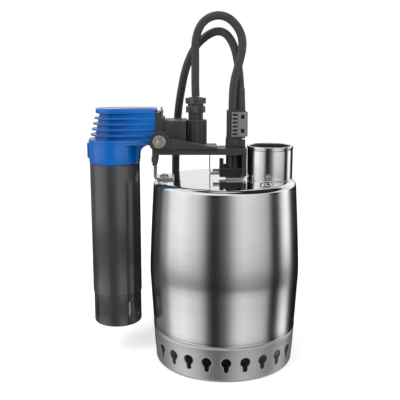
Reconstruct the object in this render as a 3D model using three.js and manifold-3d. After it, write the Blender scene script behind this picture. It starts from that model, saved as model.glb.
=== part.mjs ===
// Submersible sump pump with an upright float-tube level switch. Millimetres, +Z up.
// The origin is on the casing's axis, at the underside of the suction strainer.
// +X points to the discharge port, -X to the level switch.
import * as THREE from 'three';
import { mergeVertices } from 'three/addons/utils/BufferGeometryUtils.js';
import Module from 'manifold-3d';

// ---- Driving dimensions ----
const gap = 0.3; // clearance between pieces that touch
const sheet = 1.5; // wall of the pressed stainless pieces

// casing and strainer
const deckHeight = 184; // flat top of the casing
const strainerHeight = 35;
const bellyRadius = 74.5; // widest place of the casing
const bellyHeight = 93;
const footInset = 3.1; // the casing is this much narrower at its foot
const shoulderInset = 4.2; // and this much narrower at its shoulder
const shoulderRound = 6;
const strainerDraft = 2.3; // the strainer narrows by this much towards the floor
const strainerCollar = 6.7; // height of the collar that slips into the casing
const keyholeCount = 24;
const keyholeRound = 5; // radius of the round end
const keyholeSlot = 5; // width of the slot below it
const keyholeTop = 25;
const keyholeLength = 15;

// discharge port with its flap valve
const portBore = 20.3;
const portWall = 1.95;
const portRise = 33; // height of the mouth above the deck
const portDepth = 6; // length below the deck
const portLip = 1; // how far the lip flares out
const liningWall = 0.9; // sleeve of the flap valve's cartridge, which lines the port
const flapRadius = 13.5;
const flapThickness = 2;
const hingePinRadius = 1.2;

// motor and hydraulics
const canRadius = 50;
const canHeight = 112.7;
const bracketHeight = 53; // underside of the lower bearing bracket
const statorStack = 48;
const statorBottom = 76;
const rotorRadius = 24;
const airGap = 1;
const shaftRadius = 6;
const shaftNose = 4; // shaft radius where it carries the impeller
const bearingWidth = 8;
const impellerRadius = 38;
const impellerBottom = 25.5;
const vaneCount = 6;
const eyeRadius = 15.5;

// handle and plug
const strapWidth = 22;
const strapThickness = 2;
const strapBend = 2.5;
const gripBottom = 25; // height of the grip's underside above the deck
const gripHeight = 6;
const gripCover = 2.5; // the grip stands this far past each edge of the strap
const gripWall = 0.8;
const footLength = 18;
const plugNeck = 6.8;
const plugRadius = 7.6;
const cableDiameter = 8;

// level switch
const switchDepth = 11; // the switch stands this far behind the pump's centre plane
const floatTubeRadius = 24.8;
const floatTubeWall = 2.2;
const floatTubeLength = 132;
const tubeEndLength = 33;
const floatPlay = 2.6; // room between the float and its tube
const floatHeight = 60;
const floatTravel = 55;
const rodLength = 80;
const rodRadius = 2.5;
const magnetRadius = 7.5;
const magnetHeight = 10;
const headHeight = 35;
const headWidth = 33.4;
const finCount = 4;
const finThickness = 2;
const finDepth = 4;
const boxWidth = 34;
const boltRadius = 2.5;
const glandRadius = 10;

// mains lead put away behind the pump, with its plug lying on the coil
const coilRadius = 48;
const coilBundle = 32;
const coilCentre = [-5, 150];

// ---- Places worked out from the driving dimensions ----
const footRadius = bellyRadius - footInset;
const shoulderRadius = bellyRadius - shoulderInset;
const portX = shoulderRadius - 26;
const portOuter = portBore + portWall;
const gripSide = strapThickness / 2 + gap + gripWall; // from the strap's middle to the grip's face
const handleRight = portX - portOuter - portLip - gap - gripSide;
const handleLeft = -(shoulderRadius - 1.9);
const plugX = handleRight - gripSide - gap - plugRadius;
const plugY = 1;
const gripWidth = strapWidth + 2 * gripCover;
const gripZ = deckHeight + gripBottom;
const gripTop = gripZ + gripHeight;
const switchX = -(bellyRadius + 10.2 + floatTubeRadius);
const headBottom = gripTop + 2.6;
const headTop = headBottom + headHeight;
const boltX = handleLeft + 5;
const boltZ = gripTop + 7.1;

// ---- Geometry helpers ----
const wasm = await Module();
wasm.setup();

/** Keeps the positions only, merges shared vertices and drops triangles that have collapsed. */
function closed(geometry) {
  const bare = geometry.index ? geometry.toNonIndexed() : geometry.clone();
  bare.deleteAttribute('normal');
  bare.deleteAttribute('uv');
  const merged = mergeVertices(bare, 1e-3);
  const corners = merged.index.array;
  const kept = [];
  for (let i = 0; i < corners.length; i += 3) {
    const [a, b, c] = corners.slice(i, i + 3);
    if (a !== b && b !== c && c !== a) kept.push(a, b, c);
  }
  merged.setIndex(kept);
  return merged;
}

/** A manifold solid with the shape of a closed geometry. */
function solidOf(geometry) {
  const shape = closed(geometry);
  return new wasm.Manifold(new wasm.Mesh({
    numProp: 3,
    vertProperties: new Float32Array(shape.attributes.position.array),
    triVerts: new Uint32Array(shape.index.array),
  }));
}

/** The first geometry joined with those in added, then cut by those in removed. */
function combine(first, added, removed = []) {
  let body = solidOf(first);
  for (const piece of added) body = body.add(solidOf(piece));
  for (const piece of removed) body = body.subtract(solidOf(piece));
  return geometryOf(body);
}

function geometryOf(body) {
  const mesh = body.getMesh();
  const geometry = new THREE.BufferGeometry();
  geometry.setAttribute('position', new THREE.BufferAttribute(new Float32Array(mesh.vertProperties), 3));
  geometry.setIndex(new THREE.BufferAttribute(new Uint32Array(mesh.triVerts), 1));
  return geometry;
}

/** A turned piece about the Z axis from [radius, height] points that run anticlockwise. */
function turned(profile, sides = 32) {
  const points = profile.map(([radius, height]) => new THREE.Vector2(radius, height));
  return new THREE.LatheGeometry(points, sides).rotateX(Math.PI / 2);
}

/** A turned piece whose profile closes on itself. */
function turnedRing(profile, sides = 32) {
  return turned([...profile, profile[0]], sides);
}

function ring(inner, outer, low, high, sides = 32) {
  return turnedRing([[inner, low], [outer, low], [outer, high], [inner, high]], sides);
}

/** A round bar from low to high along Z, about the vertical line through x, y. */
function bar(radius, low, high, sides = 16, x = 0, y = 0) {
  return new THREE.CylinderGeometry(radius, radius, high - low, sides)
    .rotateX(Math.PI / 2)
    .translate(x, y, (low + high) / 2);
}

/** A round bar along Y, about the line through x, z. */
function barAlongY(radius, from, to, x, z, sides = 16) {
  return new THREE.CylinderGeometry(radius, radius, to - from, sides).translate(x, (from + to) / 2, z);
}

/** A round bar along X, about the line through y, z. */
function barAlongX(radius, from, to, y, z, sides = 16) {
  return new THREE.CylinderGeometry(radius, radius, to - from, sides)
    .rotateZ(Math.PI / 2)
    .translate((from + to) / 2, y, z);
}

function block(low, high) {
  const size = high.map((value, i) => value - low[i]);
  const middle = high.map((value, i) => (value + low[i]) / 2);
  return new THREE.BoxGeometry(...size).translate(...middle);
}

/** A shape drawn in X and Z, given its width from one Y to another. */
function acrossY(shape, from, to, curveSegments = 8) {
  return new THREE.ExtrudeGeometry(shape, { depth: to - from, bevelEnabled: false, curveSegments })
    .rotateX(Math.PI / 2)
    .translate(0, to, 0);
}

/** A shape drawn in X and Y, given its height from one Z to another. */
function upright(shape, low, high, curveSegments = 8) {
  return new THREE.ExtrudeGeometry(shape, { depth: high - low, bevelEnabled: false, curveSegments })
    .translate(0, 0, low);
}

function polygon(points) {
  return new THREE.Shape(points.map(([x, y]) => new THREE.Vector2(x, y)));
}

/** The outline of a strip of sheet that is bent round each corner of a line. */
function bentStrip(corners, thickness, radius, steps = 3) {
  const line = corners.map(([x, y]) => new THREE.Vector2(x, y));
  const left = [];
  const right = [];
  const put = (at, normal) => {
    left.push(at.clone().addScaledVector(normal, thickness / 2));
    right.unshift(at.clone().addScaledVector(normal, -thickness / 2));
  };
  const straight = (at, from, to) => {
    const along = to.clone().sub(from).normalize();
    put(at, new THREE.Vector2(-along.y, along.x));
  };
  line.forEach((corner, i) => {
    const before = line[i - 1];
    const after = line[i + 1];
    if (!before || !after) {
      straight(corner, before ?? corner, after ?? corner);
      return;
    }
    const back = before.clone().sub(corner).normalize();
    const ahead = after.clone().sub(corner).normalize();
    const half = Math.acos(back.dot(ahead)) / 2;
    const centre = corner.clone().addScaledVector(back.clone().add(ahead).normalize(), radius / Math.sin(half));
    const start = back.clone().multiplyScalar(radius / Math.tan(half)).add(corner).sub(centre).angle();
    const end = ahead.clone().multiplyScalar(radius / Math.tan(half)).add(corner).sub(centre).angle();
    const sweep = Math.atan2(Math.sin(end - start), Math.cos(end - start));
    for (let k = 0; k <= steps; k += 1) {
      const angle = start + sweep * k / steps;
      const radial = new THREE.Vector2(Math.cos(angle), Math.sin(angle));
      put(radial.clone().multiplyScalar(radius).add(centre), radial.clone().multiplyScalar(-Math.sign(sweep)));
    }
  });
  return new THREE.Shape([...left, ...right]);
}

/** A round tube along a smooth curve through the points. */
function cable(points, diameter, spacing) {
  const curve = new THREE.CatmullRomCurve3(points.map((p) => new THREE.Vector3(...p)), false, 'centripetal');
  const section = new THREE.Shape();
  section.absarc(0, 0, diameter / 2, 0, 2 * Math.PI);
  const steps = Math.round(curve.getLength() / spacing);
  return new THREE.ExtrudeGeometry(section, { steps, extrudePath: curve, curveSegments: 4, bevelEnabled: false });
}

// ---- Finishes and the assembly ----
const finishes = {
  brushedSteel: { color: 0xb9bbbd, roughness: 0.3, metalness: 1 },
  polishedSteel: { color: 0xd5d6d8, roughness: 0.12, metalness: 1 },
  greySteel: { color: 0x8d9092, roughness: 0.4, metalness: 1 },
  plainSteel: { color: 0x77797c, roughness: 0.45, metalness: 1 },
  lamination: { color: 0x5a5c60, roughness: 0.5, metalness: 0.9 },
  copper: { color: 0xb3693c, roughness: 0.45, metalness: 1 },
  blackPlastic: { color: 0x2a2b2d, roughness: 0.5, metalness: 0 },
  greyPlastic: { color: 0x3d3e40, roughness: 0.4, metalness: 0 },
  bluePlastic: { color: 0x0a63bd, roughness: 0.35, metalness: 0 },
  whitePlastic: { color: 0xd9d8d2, roughness: 0.5, metalness: 0 },
  rubber: { color: 0x2f3032, roughness: 0.6, metalness: 0 },
  magnet: { color: 0x3a3a3c, roughness: 0.6, metalness: 0.3 },
};
const pump = new THREE.Group();

function place(group, name, geometry, finish) {
  const mesh = new THREE.Mesh(closed(geometry), new THREE.MeshStandardMaterial(finishes[finish]));
  mesh.name = name;
  group.add(mesh);
  return mesh;
}

function groupAt(x, y, z) {
  const group = new THREE.Group();
  group.position.set(x, y, z);
  pump.add(group);
  return group;
}

// ---- Casing: one deep-drawn shell, widest at its belly, with a flat deck ----
const casingSides = 44;

/** The casing's outside radius at a height between its foot and its belly. */
function casingRadius(height) {
  return footRadius + footInset * (height - strainerHeight) / (bellyHeight - strainerHeight);
}

function casingProfile() {
  const shoulderHeight = deckHeight - shoulderRound;
  const curveSteps = 3;
  const side = [[footRadius, strainerHeight + gap]];
  for (let k = 0; k <= curveSteps; k += 1) {
    const part = k / curveSteps;
    side.push([bellyRadius - shoulderInset * part ** 1.2, bellyHeight + (shoulderHeight - bellyHeight) * part]);
  }
  const roundSteps = 3;
  const corner = (radius, step) => {
    const angle = Math.PI / 2 * step / roundSteps;
    const middle = shoulderRadius - shoulderRound;
    return [middle + radius * Math.cos(angle), shoulderHeight + radius * Math.sin(angle)];
  };
  const outer = [...side];
  const inner = side.map(([radius, height]) => [radius - sheet, height]);
  for (let step = 1; step <= roundSteps; step += 1) {
    outer.push(corner(shoulderRound, step));
    inner.push(corner(shoulderRound - sheet, step));
  }
  return [[0, deckHeight - sheet], ...inner.reverse(), ...outer, [0, deckHeight]];
}

const vent = { x: portX - 7.4, y: -(portOuter + 17.75), radius: 5.5, shank: 2 };
const handleScrewX = handleLeft + 9;
const screwShank = 2.3;

function buildCasing() {
  const low = deckHeight - 3 * shoulderRound;
  const high = deckHeight + 1;
  const holes = [
    bar(portOuter + gap, low, high, 28, portX),
    bar(plugNeck + gap, low, high, 16, plugX, plugY),
    bar(screwShank + gap, low, high, 12, handleScrewX),
    bar(vent.shank + gap, low, high, 12, vent.x, vent.y),
  ];
  place(pump, 'pump_casing', combine(turned(casingProfile(), casingSides), [], holes), 'brushedSteel');
  const dome = [[0, -6], [vent.shank, -6], [vent.shank, gap], [vent.radius, gap], [vent.radius, 1]];
  place(groupAt(vent.x, vent.y, deckHeight), 'vent_screw',
    turned([...dome, [vent.radius - 1.5, 2], [0, 2.6]], 16), 'polishedSteel');
}

// ---- Suction strainer: a closed tray with a ring of keyhole slots and a collar for the casing ----
const collarOuter = casingRadius(strainerHeight) - sheet - gap;
const collarInner = collarOuter - 1.3;
const collarTop = strainerHeight + strainerCollar;

function keyhole(angle) {
  const middle = keyholeTop - keyholeRound;
  const half = keyholeSlot / 2;
  const shape = new THREE.Shape();
  const start = Math.acos(half / keyholeRound);
  shape.absarc(0, middle, keyholeRound, -start, Math.PI + start);
  shape.lineTo(-half, keyholeTop - keyholeLength);
  shape.lineTo(half, keyholeTop - keyholeLength);
  const cut = acrossY(shape, -footRadius - 5, -footRadius + 10, 3);
  return cut.rotateZ(angle);
}

function buildStrainer() {
  const floorRadius = footRadius - strainerDraft;
  const edge = 3;
  const profile = [
    [0, 0], [floorRadius - edge, 0], [floorRadius, edge],
    [footRadius, strainerHeight], [collarOuter, strainerHeight], [collarOuter, collarTop],
    [collarInner, collarTop], [collarInner, strainerHeight - 2], [footRadius - sheet, strainerHeight - 4],
    [floorRadius - sheet, edge], [floorRadius - edge, sheet], [0, sheet],
  ];
  const cuts = [];
  for (let i = 0; i < keyholeCount; i += 1) cuts.push(keyhole(i * 2 * Math.PI / keyholeCount));
  place(pump, 'suction_strainer', combine(turned(profile, casingSides), [], cuts), 'brushedSteel');
}

// ---- Discharge port, welded into the deck, with a flap valve in its foot ----
const seatBottom = deckHeight - portDepth + 2;
const seatTop = seatBottom + 3;
const hingeX = flapRadius + 3.8; // hinge axis, from the port's axis
const hingeZ = seatTop + 2.8;

function buildPort() {
  const port = groupAt(portX, 0, 0);
  const mouth = deckHeight + portRise;
  const low = deckHeight - portDepth;
  const profile = [
    [portBore, low], [portOuter, low], [portOuter, mouth - 6], [portOuter + portLip, mouth - 3],
    [portOuter + portLip, mouth - 0.8], [portOuter + portLip - 0.8, mouth], [portBore + 1.2, mouth],
    [portBore, mouth - 1.2],
  ];
  place(port, 'discharge_port', turnedRing(profile, 28), 'polishedSteel');

  const earHalf = 6;
  const slotHalf = 3.4;
  const earReach = Math.sqrt((portBore - gap) ** 2 - earHalf ** 2) - 0.2;
  const ears = block([flapRadius + 1, -earHalf, seatTop - 1], [earReach, earHalf, hingeZ + 2.2]);
  const slot = block([0, -slotHalf, seatTop], [portBore, slotHalf, hingeZ + 3]);
  const pinHole = barAlongY(hingePinRadius + gap, -9, 9, hingeX, hingeZ, 12);
  const seat = ring(11, portBore - gap, seatBottom, seatTop, 28);
  const lining = ring(portBore - gap - liningWall, portBore - gap, seatTop - 1, mouth - 1.5, 28);
  place(port, 'flap_seat', combine(seat, [ears, lining], [slot, pinHole]), 'blackPlastic');
  place(port, 'flap_pin', barAlongY(hingePinRadius, -earHalf, earHalf, hingeX, hingeZ, 12), 'plainSteel');

  const flapLow = seatTop + gap;
  const armHalf = slotHalf - gap;
  const knuckle = barAlongY(1.9, -armHalf, armHalf, hingeX, hingeZ, 16);
  const arm = block([flapRadius - 3, -armHalf, flapLow + 0.6], [hingeX, armHalf, hingeZ + 1.5]);
  const flap = combine(bar(flapRadius, flapLow, flapLow + flapThickness, 18), [knuckle, arm], [pinHole]);
  place(port, 'check_flap', flap, 'rubber');
}

// ---- Hydraulics: the bowl with its seal and neck ring, and the impeller on the shaft's nose ----
const rimBottom = collarTop + gap;
const rimRadius = casingRadius(rimBottom) - sheet - 2.9;

function buildHydraulics() {
  const bowlFloor = impellerBottom - 3.5;
  const wall = 2.5;
  const bowlFoot = impellerRadius + 6;
  const lip = rimRadius + 2;
  const bowl = [
    [eyeRadius + 3.5, bowlFloor], [bowlFoot + 2, bowlFloor], [bowlFoot + 10.5, bowlFloor + 5],
    [rimRadius - 2, rimBottom], [lip, rimBottom], [lip, rimBottom + 1],
    [rimRadius, rimBottom + 1], [rimRadius, rimBottom + 4], [lip, rimBottom + 4], [lip, rimBottom + 5],
    [rimRadius - 4, rimBottom + 5], [bowlFoot + 9, bowlFloor + 8],
    [bowlFoot, bowlFloor + wall], [eyeRadius + 3.5, bowlFloor + wall],
  ];
  place(pump, 'pump_bowl', turnedRing(bowl, 24), 'greySteel');

  const sealRadius = 1.1;
  const sealMiddle = rimRadius + gap + sealRadius;
  const sealProfile = [];
  for (let k = 0; k < 5; k += 1) {
    const angle = k * 2 * Math.PI / 5;
    sealProfile.push([sealMiddle + sealRadius * Math.cos(angle), rimBottom + 2.5 + sealRadius * Math.sin(angle)]);
  }
  place(pump, 'casing_seal', turnedRing(sealProfile, 24), 'rubber');

  const neck = [
    [eyeRadius, bowlFloor - 2.5], [eyeRadius + 5.5, bowlFloor - 2.5], [eyeRadius + 5.5, bowlFloor - gap],
    [eyeRadius + 3.2, bowlFloor - gap], [eyeRadius + 3.2, bowlFloor + wall], [eyeRadius, bowlFloor + wall],
  ];
  place(pump, 'neck_ring', turnedRing(neck, 16), 'blackPlastic');

  buildImpeller();
}

function vane(turn, low, high) {
  const steps = 4;
  const outside = [];
  const inside = [];
  for (let k = 0; k <= steps; k += 1) {
    const part = k / steps;
    const radius = 14 + (impellerRadius - 0.6 - 14) * part;
    const angle = turn - 1.1 * part;
    const half = 1.1 / radius;
    outside.push([radius * Math.cos(angle + half), radius * Math.sin(angle + half)]);
    inside.unshift([radius * Math.cos(angle - half), radius * Math.sin(angle - half)]);
  }
  return upright(polygon([...outside, ...inside]), low, high);
}

const shroudBottom = impellerBottom + 15;
const sealBottom = bracketHeight - 7;

function buildImpeller() {
  const hubBottom = impellerBottom + 4.5;
  const profile = [
    [shaftNose + gap, hubBottom], [10, hubBottom], [12, shroudBottom], [impellerRadius, shroudBottom],
    [impellerRadius, shroudBottom + 2], [12, shroudBottom + 2.5], [11, sealBottom - 1.3],
    [shaftNose + gap, sealBottom - 1.3],
  ];
  const vanes = [];
  for (let i = 0; i < vaneCount; i += 1) {
    vanes.push(vane(i * 2 * Math.PI / vaneCount, impellerBottom, shroudBottom + 1));
  }
  place(pump, 'impeller', combine(turnedRing(profile, 20), vanes), 'greySteel');
  const nutBottom = impellerBottom - 0.6;
  const nut = combine(bar(6.5, nutBottom, hubBottom - gap, 6), [], [bar(shaftNose + gap, 0, hubBottom, 16)]);
  place(pump, 'impeller_nut', nut, 'plainSteel');
}

// ---- Motor: a canned induction motor that hangs between the bowl's rim and the deck ----
const motorSides = 20;
const canBottom = bracketHeight + 4 + gap;
const canTop = canBottom + canHeight;
const spigotOuter = canRadius - sheet - gap;
const statorTop = statorBottom + statorStack;
const coverTop = canTop + gap + 4;
const lowerBearingRadius = 16;
const upperBearingRadius = 14;
const lowerBearingZ = canBottom + 0.5;
const upperBearingTop = canTop + gap - 3;
const shaftTop = upperBearingTop + 1;

function buildBearingBracket() {
  const profile = [
    [shaftRadius + 1, bracketHeight], [canRadius, bracketHeight], [canRadius, canBottom - gap],
    [spigotOuter, canBottom - gap], [spigotOuter, canBottom + 5], [spigotOuter - 3, canBottom + 5],
    [spigotOuter - 3, canBottom - gap], [20, canBottom - gap], [20, lowerBearingZ + bearingWidth + 1],
    [lowerBearingRadius + gap, lowerBearingZ + bearingWidth + 1], [lowerBearingRadius + gap, canBottom - gap],
    [shaftRadius + 1, canBottom - gap],
  ];
  const arms = [];
  const armBottom = rimBottom + 5 + gap;
  for (let i = 0; i < 4; i += 1) {
    const arm = block([canRadius - 2, -4, bracketHeight], [rimRadius + 1, 4, canBottom - gap]);
    const foot = block([rimRadius - 4, -4, armBottom], [rimRadius + 1, 4, canBottom - gap]);
    arms.push(arm.rotateZ(i * Math.PI / 2 + Math.PI / 4), foot.rotateZ(i * Math.PI / 2 + Math.PI / 4));
  }
  place(pump, 'bearing_bracket', combine(turnedRing(profile, motorSides), arms), 'greySteel');
}

function buildMotorCover() {
  const profile = [
    [0, coverTop - 4], [upperBearingRadius + gap, coverTop - 4],
    [upperBearingRadius + gap, upperBearingTop - bearingWidth - 1],
    [upperBearingRadius + 4, upperBearingTop - bearingWidth - 1], [upperBearingRadius + 4, coverTop - 4],
    [spigotOuter - 3, coverTop - 4], [spigotOuter - 3, canTop - 5], [spigotOuter, canTop - 5],
    [spigotOuter, coverTop - 4], [canRadius, coverTop - 4], [canRadius, coverTop], [0, coverTop],
  ];
  const wireHole = bar(3, canTop - 2, coverTop + 1, 12, plugX + 13, 18);
  place(pump, 'motor_cover', combine(turned(profile, motorSides), [], [wireHole]), 'greySteel');
}

function buildStator() {
  const bore = rotorRadius + airGap;
  const slotCount = 12;
  const outline = new THREE.Shape();
  outline.absarc(0, 0, canRadius - sheet - gap, 0, 2 * Math.PI);
  const inner = [];
  for (let i = 0; i < slotCount; i += 1) {
    const middle = i * 2 * Math.PI / slotCount;
    for (const [radius, turn] of [[bore, -0.045], [bore + 14, -0.11], [bore + 14, 0.11], [bore, 0.045]]) {
      inner.push(new THREE.Vector2(radius * Math.cos(middle + turn), radius * Math.sin(middle + turn)));
    }
  }
  outline.holes.push(new THREE.Path(inner));
  place(pump, 'stator_core', upright(outline, statorBottom, statorTop, motorSides / 2), 'lamination');
  const winding = (low, high) => turnedRing([
    [bore + 4, low], [canRadius - 8, low], [canRadius - 6, low + 2], [canRadius - 6, high - 2],
    [canRadius - 8, high], [bore + 4, high],
  ], 16);
  place(pump, 'lower_winding', winding(statorBottom - gap - 8, statorBottom - gap), 'copper');
  place(pump, 'upper_winding', winding(statorTop + gap, statorTop + gap + 10), 'copper');
}

function buildRotor() {
  const nose = impellerBottom - 0.5;
  const journal = shaftRadius - 1;
  const shaft = [
    [0, nose], [shaftNose, nose], [shaftNose, sealBottom - 1], [shaftRadius, sealBottom - 1],
    [shaftRadius, upperBearingTop - bearingWidth - 1], [journal, upperBearingTop - bearingWidth - 1],
    [journal, shaftTop], [0, shaftTop],
  ];
  place(pump, 'motor_shaft', turned(shaft, 16), 'plainSteel');
  const inner = shaftRadius + gap;
  const core = [
    [inner, statorBottom - 6], [rotorRadius - 3, statorBottom - 6], [rotorRadius - 1, statorBottom - 1],
    [rotorRadius, statorBottom - 1], [rotorRadius, statorTop + 1], [rotorRadius - 1, statorTop + 1],
    [rotorRadius - 3, statorTop + 6], [inner, statorTop + 6],
  ];
  place(pump, 'rotor_core', turnedRing(core, 16), 'lamination');
}

function buildMotor() {
  buildBearingBracket();
  place(pump, 'motor_can', ring(canRadius - sheet, canRadius, canBottom, canTop, motorSides), 'greySteel');
  buildMotorCover();
  buildStator();
  buildRotor();
  const bearing = (inner, outer, low) => ring(inner + gap, outer, low, low + bearingWidth, 16);
  place(pump, 'lower_bearing', bearing(shaftRadius, lowerBearingRadius, lowerBearingZ), 'plainSteel');
  place(pump, 'upper_bearing', bearing(shaftRadius - 1, upperBearingRadius, upperBearingTop - bearingWidth),
    'plainSteel');
  place(pump, 'shaft_seal', ring(shaftRadius + gap, 14, sealBottom, bracketHeight - gap, 20), 'rubber');
  const capacitorRadius = 12.5;
  const capacitorX = -(spigotOuter - 3 - gap - capacitorRadius - 1);
  place(pump, 'run_capacitor', bar(capacitorRadius, statorTop + 13, canTop - 6, 20, capacitorX), 'whitePlastic');
}

// ---- Handle: a bent strap bolted to the deck, with a moulded grip over it ----
const strapZ = gripZ + gripHeight / 2;
const strapFootZ = deckHeight + gap + strapThickness / 2;

function strapOutline(thickness, reach = 0) {
  const corners = [
    [handleLeft + footLength + reach, strapFootZ], [handleLeft, strapFootZ], [handleLeft, strapZ],
    [handleRight, strapZ], [handleRight, strapFootZ], [handleRight - footLength - reach, strapFootZ],
  ];
  return bentStrip(corners, thickness, strapBend);
}

function buildHandle() {
  const half = strapWidth / 2;
  const screwHole = bar(screwShank + gap, deckHeight - 1, deckHeight + 8, 12, handleScrewX);
  const socketHole = bar(plugNeck + gap, deckHeight - 1, gripTop + 1, 16, plugX, plugY);
  const strap = acrossY(strapOutline(strapThickness), -half, half);
  place(pump, 'handle_strap', combine(strap, [], [screwHole, socketHole]), 'polishedSteel');

  const side = gripSide;
  const halfGrip = gripWidth / 2;
  const sleeve = (x, length) => block([x - side, -halfGrip + 1, gripZ - length], [x + side, halfGrip - 1, gripZ + 2]);
  const bulge = (x) => block([x - side - 0.7, -halfGrip, gripZ - 7], [x + side + 0.7, halfGrip, gripZ - 2]);
  const beam = block([handleLeft - side, -halfGrip, gripZ], [handleRight + side, halfGrip, gripTop]);
  const added = [sleeve(handleLeft, 10.5), bulge(handleLeft), sleeve(handleRight, 21)];
  const channel = acrossY(strapOutline(strapThickness + 2 * gap, 1), -half - gap, half + gap);
  const grip = combine(beam, added, [channel, socketHole]);
  place(pump, 'handle_grip', grip, 'blackPlastic');

  const screw = groupAt(handleScrewX, 0, deckHeight);
  const headLow = strapThickness + 2 * gap;
  const domed = [[0, -6], [screwShank, -6], [screwShank, headLow], [5, headLow], [4.6, headLow + 1.2], [0, headLow + 2]];
  place(screw, 'handle_screw', turned(domed, 16), 'polishedSteel');
  const nut = combine(bar(4.4, -sheet - gap - 3.2, -sheet - gap, 6), [], [bar(screwShank + gap, -8, 0, 12)]);
  place(screw, 'handle_nut', nut, 'plainSteel');
}

// ---- Cable plug: it screws into the motor through the deck, and its neck passes through the grip ----
const inletFront = [-1.4, -2.5]; // cable inlets, from the plug's axis
const inletBack = [6.1, 3];
const clampTop = gripTop + 36;

function buildPlug() {
  const plug = groupAt(plugX, plugY, 0);
  const footTop = deckHeight + gap + strapThickness;
  const pins = footTop + 4;
  place(plug, 'plug_socket', combine(bar(plugNeck, coverTop + gap, pins, 16), [],
    [bar(1.2, pins - 4, pins + 1, 8, -3), bar(1.2, pins - 4, pins + 1, 8, 3)]), 'blackPlastic');

  const low = footTop + gap;
  const bodyParts = [
    block([-14, -9.5, low], [plugRadius, 6, low + 8.5]),
    block([-14, -5, low + 8], [-10, 1, low + 17.5]),
    block([-11, -3, low + 8], [0, 0, low + 12]),
    bar(plugNeck, low + 8, gripTop + 7, 16),
  ];
  const screwHole = barAlongX(1.6, -15, -8, -2, low + 4.5, 12);
  const bodyCuts = [bar(plugNeck + gap, low - 1, pins + gap, 16), screwHole];
  place(plug, 'plug_body', combine(bar(plugRadius, low, gripZ - 0.6, 20), bodyParts, bodyCuts), 'blackPlastic');
  place(plug, 'plug_screw', combine(barAlongX(1.3, -19, -8.5, -2, low + 4.5, 12),
    [barAlongX(2.7, -20.5, -14 - gap, -2, low + 4.5, 12)]), 'plainSteel');

  const clampLow = gripTop + gap;
  const shape = polygon([[-7, -6], [-4.6, -8.6], [7.6, -8.6], [11, -5], [11, 6], [7.6, 8.6], [-4.6, 8.6], [-7, 6]]);
  const holes = [inletFront, inletBack].map(([x, y]) => bar(cableDiameter / 2 + gap, clampTop - 12, clampTop + 1, 12, x, y));
  const collar = polygon([[-7.9, -5], [-5, -8], [8, -8], [11, -5], [11, 5], [8, 8], [-5, 8], [-7.9, 5]]);
  const button = barAlongY(2.2, -9.4, -6, 1.2, clampLow + 4, 14);
  const stop = block([5, -9.2, clampLow + 1.5], [9.8, -6, clampLow + 6]);
  const clampParts = [upright(shape, clampLow + 9, clampTop), upright(collar, clampLow, clampLow + 7), button, stop];
  const neckHole = bar(plugNeck + gap, clampLow - 1, gripTop + 7 + gap, 16);
  place(plug, 'cable_clamp', combine(bar(7.8, clampLow, clampLow + 10, 20), clampParts, [...holes, neckHole]),
    'blackPlastic');

  const strapLow = clampLow + 11;
  const strapHigh = clampTop - 1.5;
  const rungs = [];
  for (let i = 0; i < 6; i += 1) {
    const middle = strapLow + 2.3 + i * (strapHigh - strapLow - 4.6) / 5;
    rungs.push(block([-1.8, -12, middle - 1.1], [3, -8, middle + 1.1]));
  }
  place(plug, 'clamp_ladder', combine(block([-2.6, -10.4, strapLow], [3.8, -8.6 - gap, strapHigh]), [], rungs),
    'greyPlastic');
  const latch = polygon([
    [4.1, -10.4], [11.2, -10.4], [12.9, -8.7], [12.9, 6], [11 + gap, 6], [11 + gap, -5.2], [7.8, -8.6 - gap], [4.1, -8.6 - gap],
  ]);
  const windows = [strapLow + 5.5, strapHigh - 4.2].map((z) => block([6, -12, z - 2], [9.6, -7, z + 2]));
  place(plug, 'clamp_latch', combine(upright(latch, strapLow, strapHigh), [], windows), 'greyPlastic');

  const stripX = plugX - 23;
  const corners = [[stripX + 11, deckHeight + gap + 0.5], [stripX, deckHeight + gap + 0.5], [stripX, gripZ - 2]];
  place(pump, 'plug_retainer', acrossY(bentStrip(corners, 1, 1.2, 2), 33, 43), 'polishedSteel');
}

// ---- Level switch: head, clamp flange, terminal box and float tube on one bolt beside the grip ----
const level = groupAt(switchX, switchDepth, 0);
const headRight = handleLeft + 0.9 - switchX;
const flangeLeft = headRight + gap;
const bolt = { x: boltX - switchX, z: boltZ };
const flangeRight = bolt.x + 3.7;
const boxLeft = flangeRight + gap;
const glandX = plugX - 37.3 - switchX;
const boxTop = headBottom + 23.4;
const flangeBoss = 3; // the flange's round boss stands this far in front of it
const tubeTop = headBottom - 19.1;
const tubeBottom = tubeTop - floatTubeLength;
const tubeBore = floatTubeRadius - floatTubeWall;
const floatRest = tubeBottom - tubeEndLength + 3; // underside of the float when it hangs at rest
const rodTop = floatRest + floatHeight + rodLength;
const collarBottom = tubeTop + gap;

/** The head's plan: a round end about the float tube, tapering to the flange. */
function headPlan(endRadius, halfWidth) {
  const shape = new THREE.Shape();
  const lean = Math.asin((endRadius - halfWidth) / headRight);
  shape.moveTo(headRight, -halfWidth);
  shape.lineTo(headRight, halfWidth);
  shape.absarc(0, 0, endRadius, Math.PI / 2 - lean, 1.5 * Math.PI + lean, false);
  return shape;
}

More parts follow.
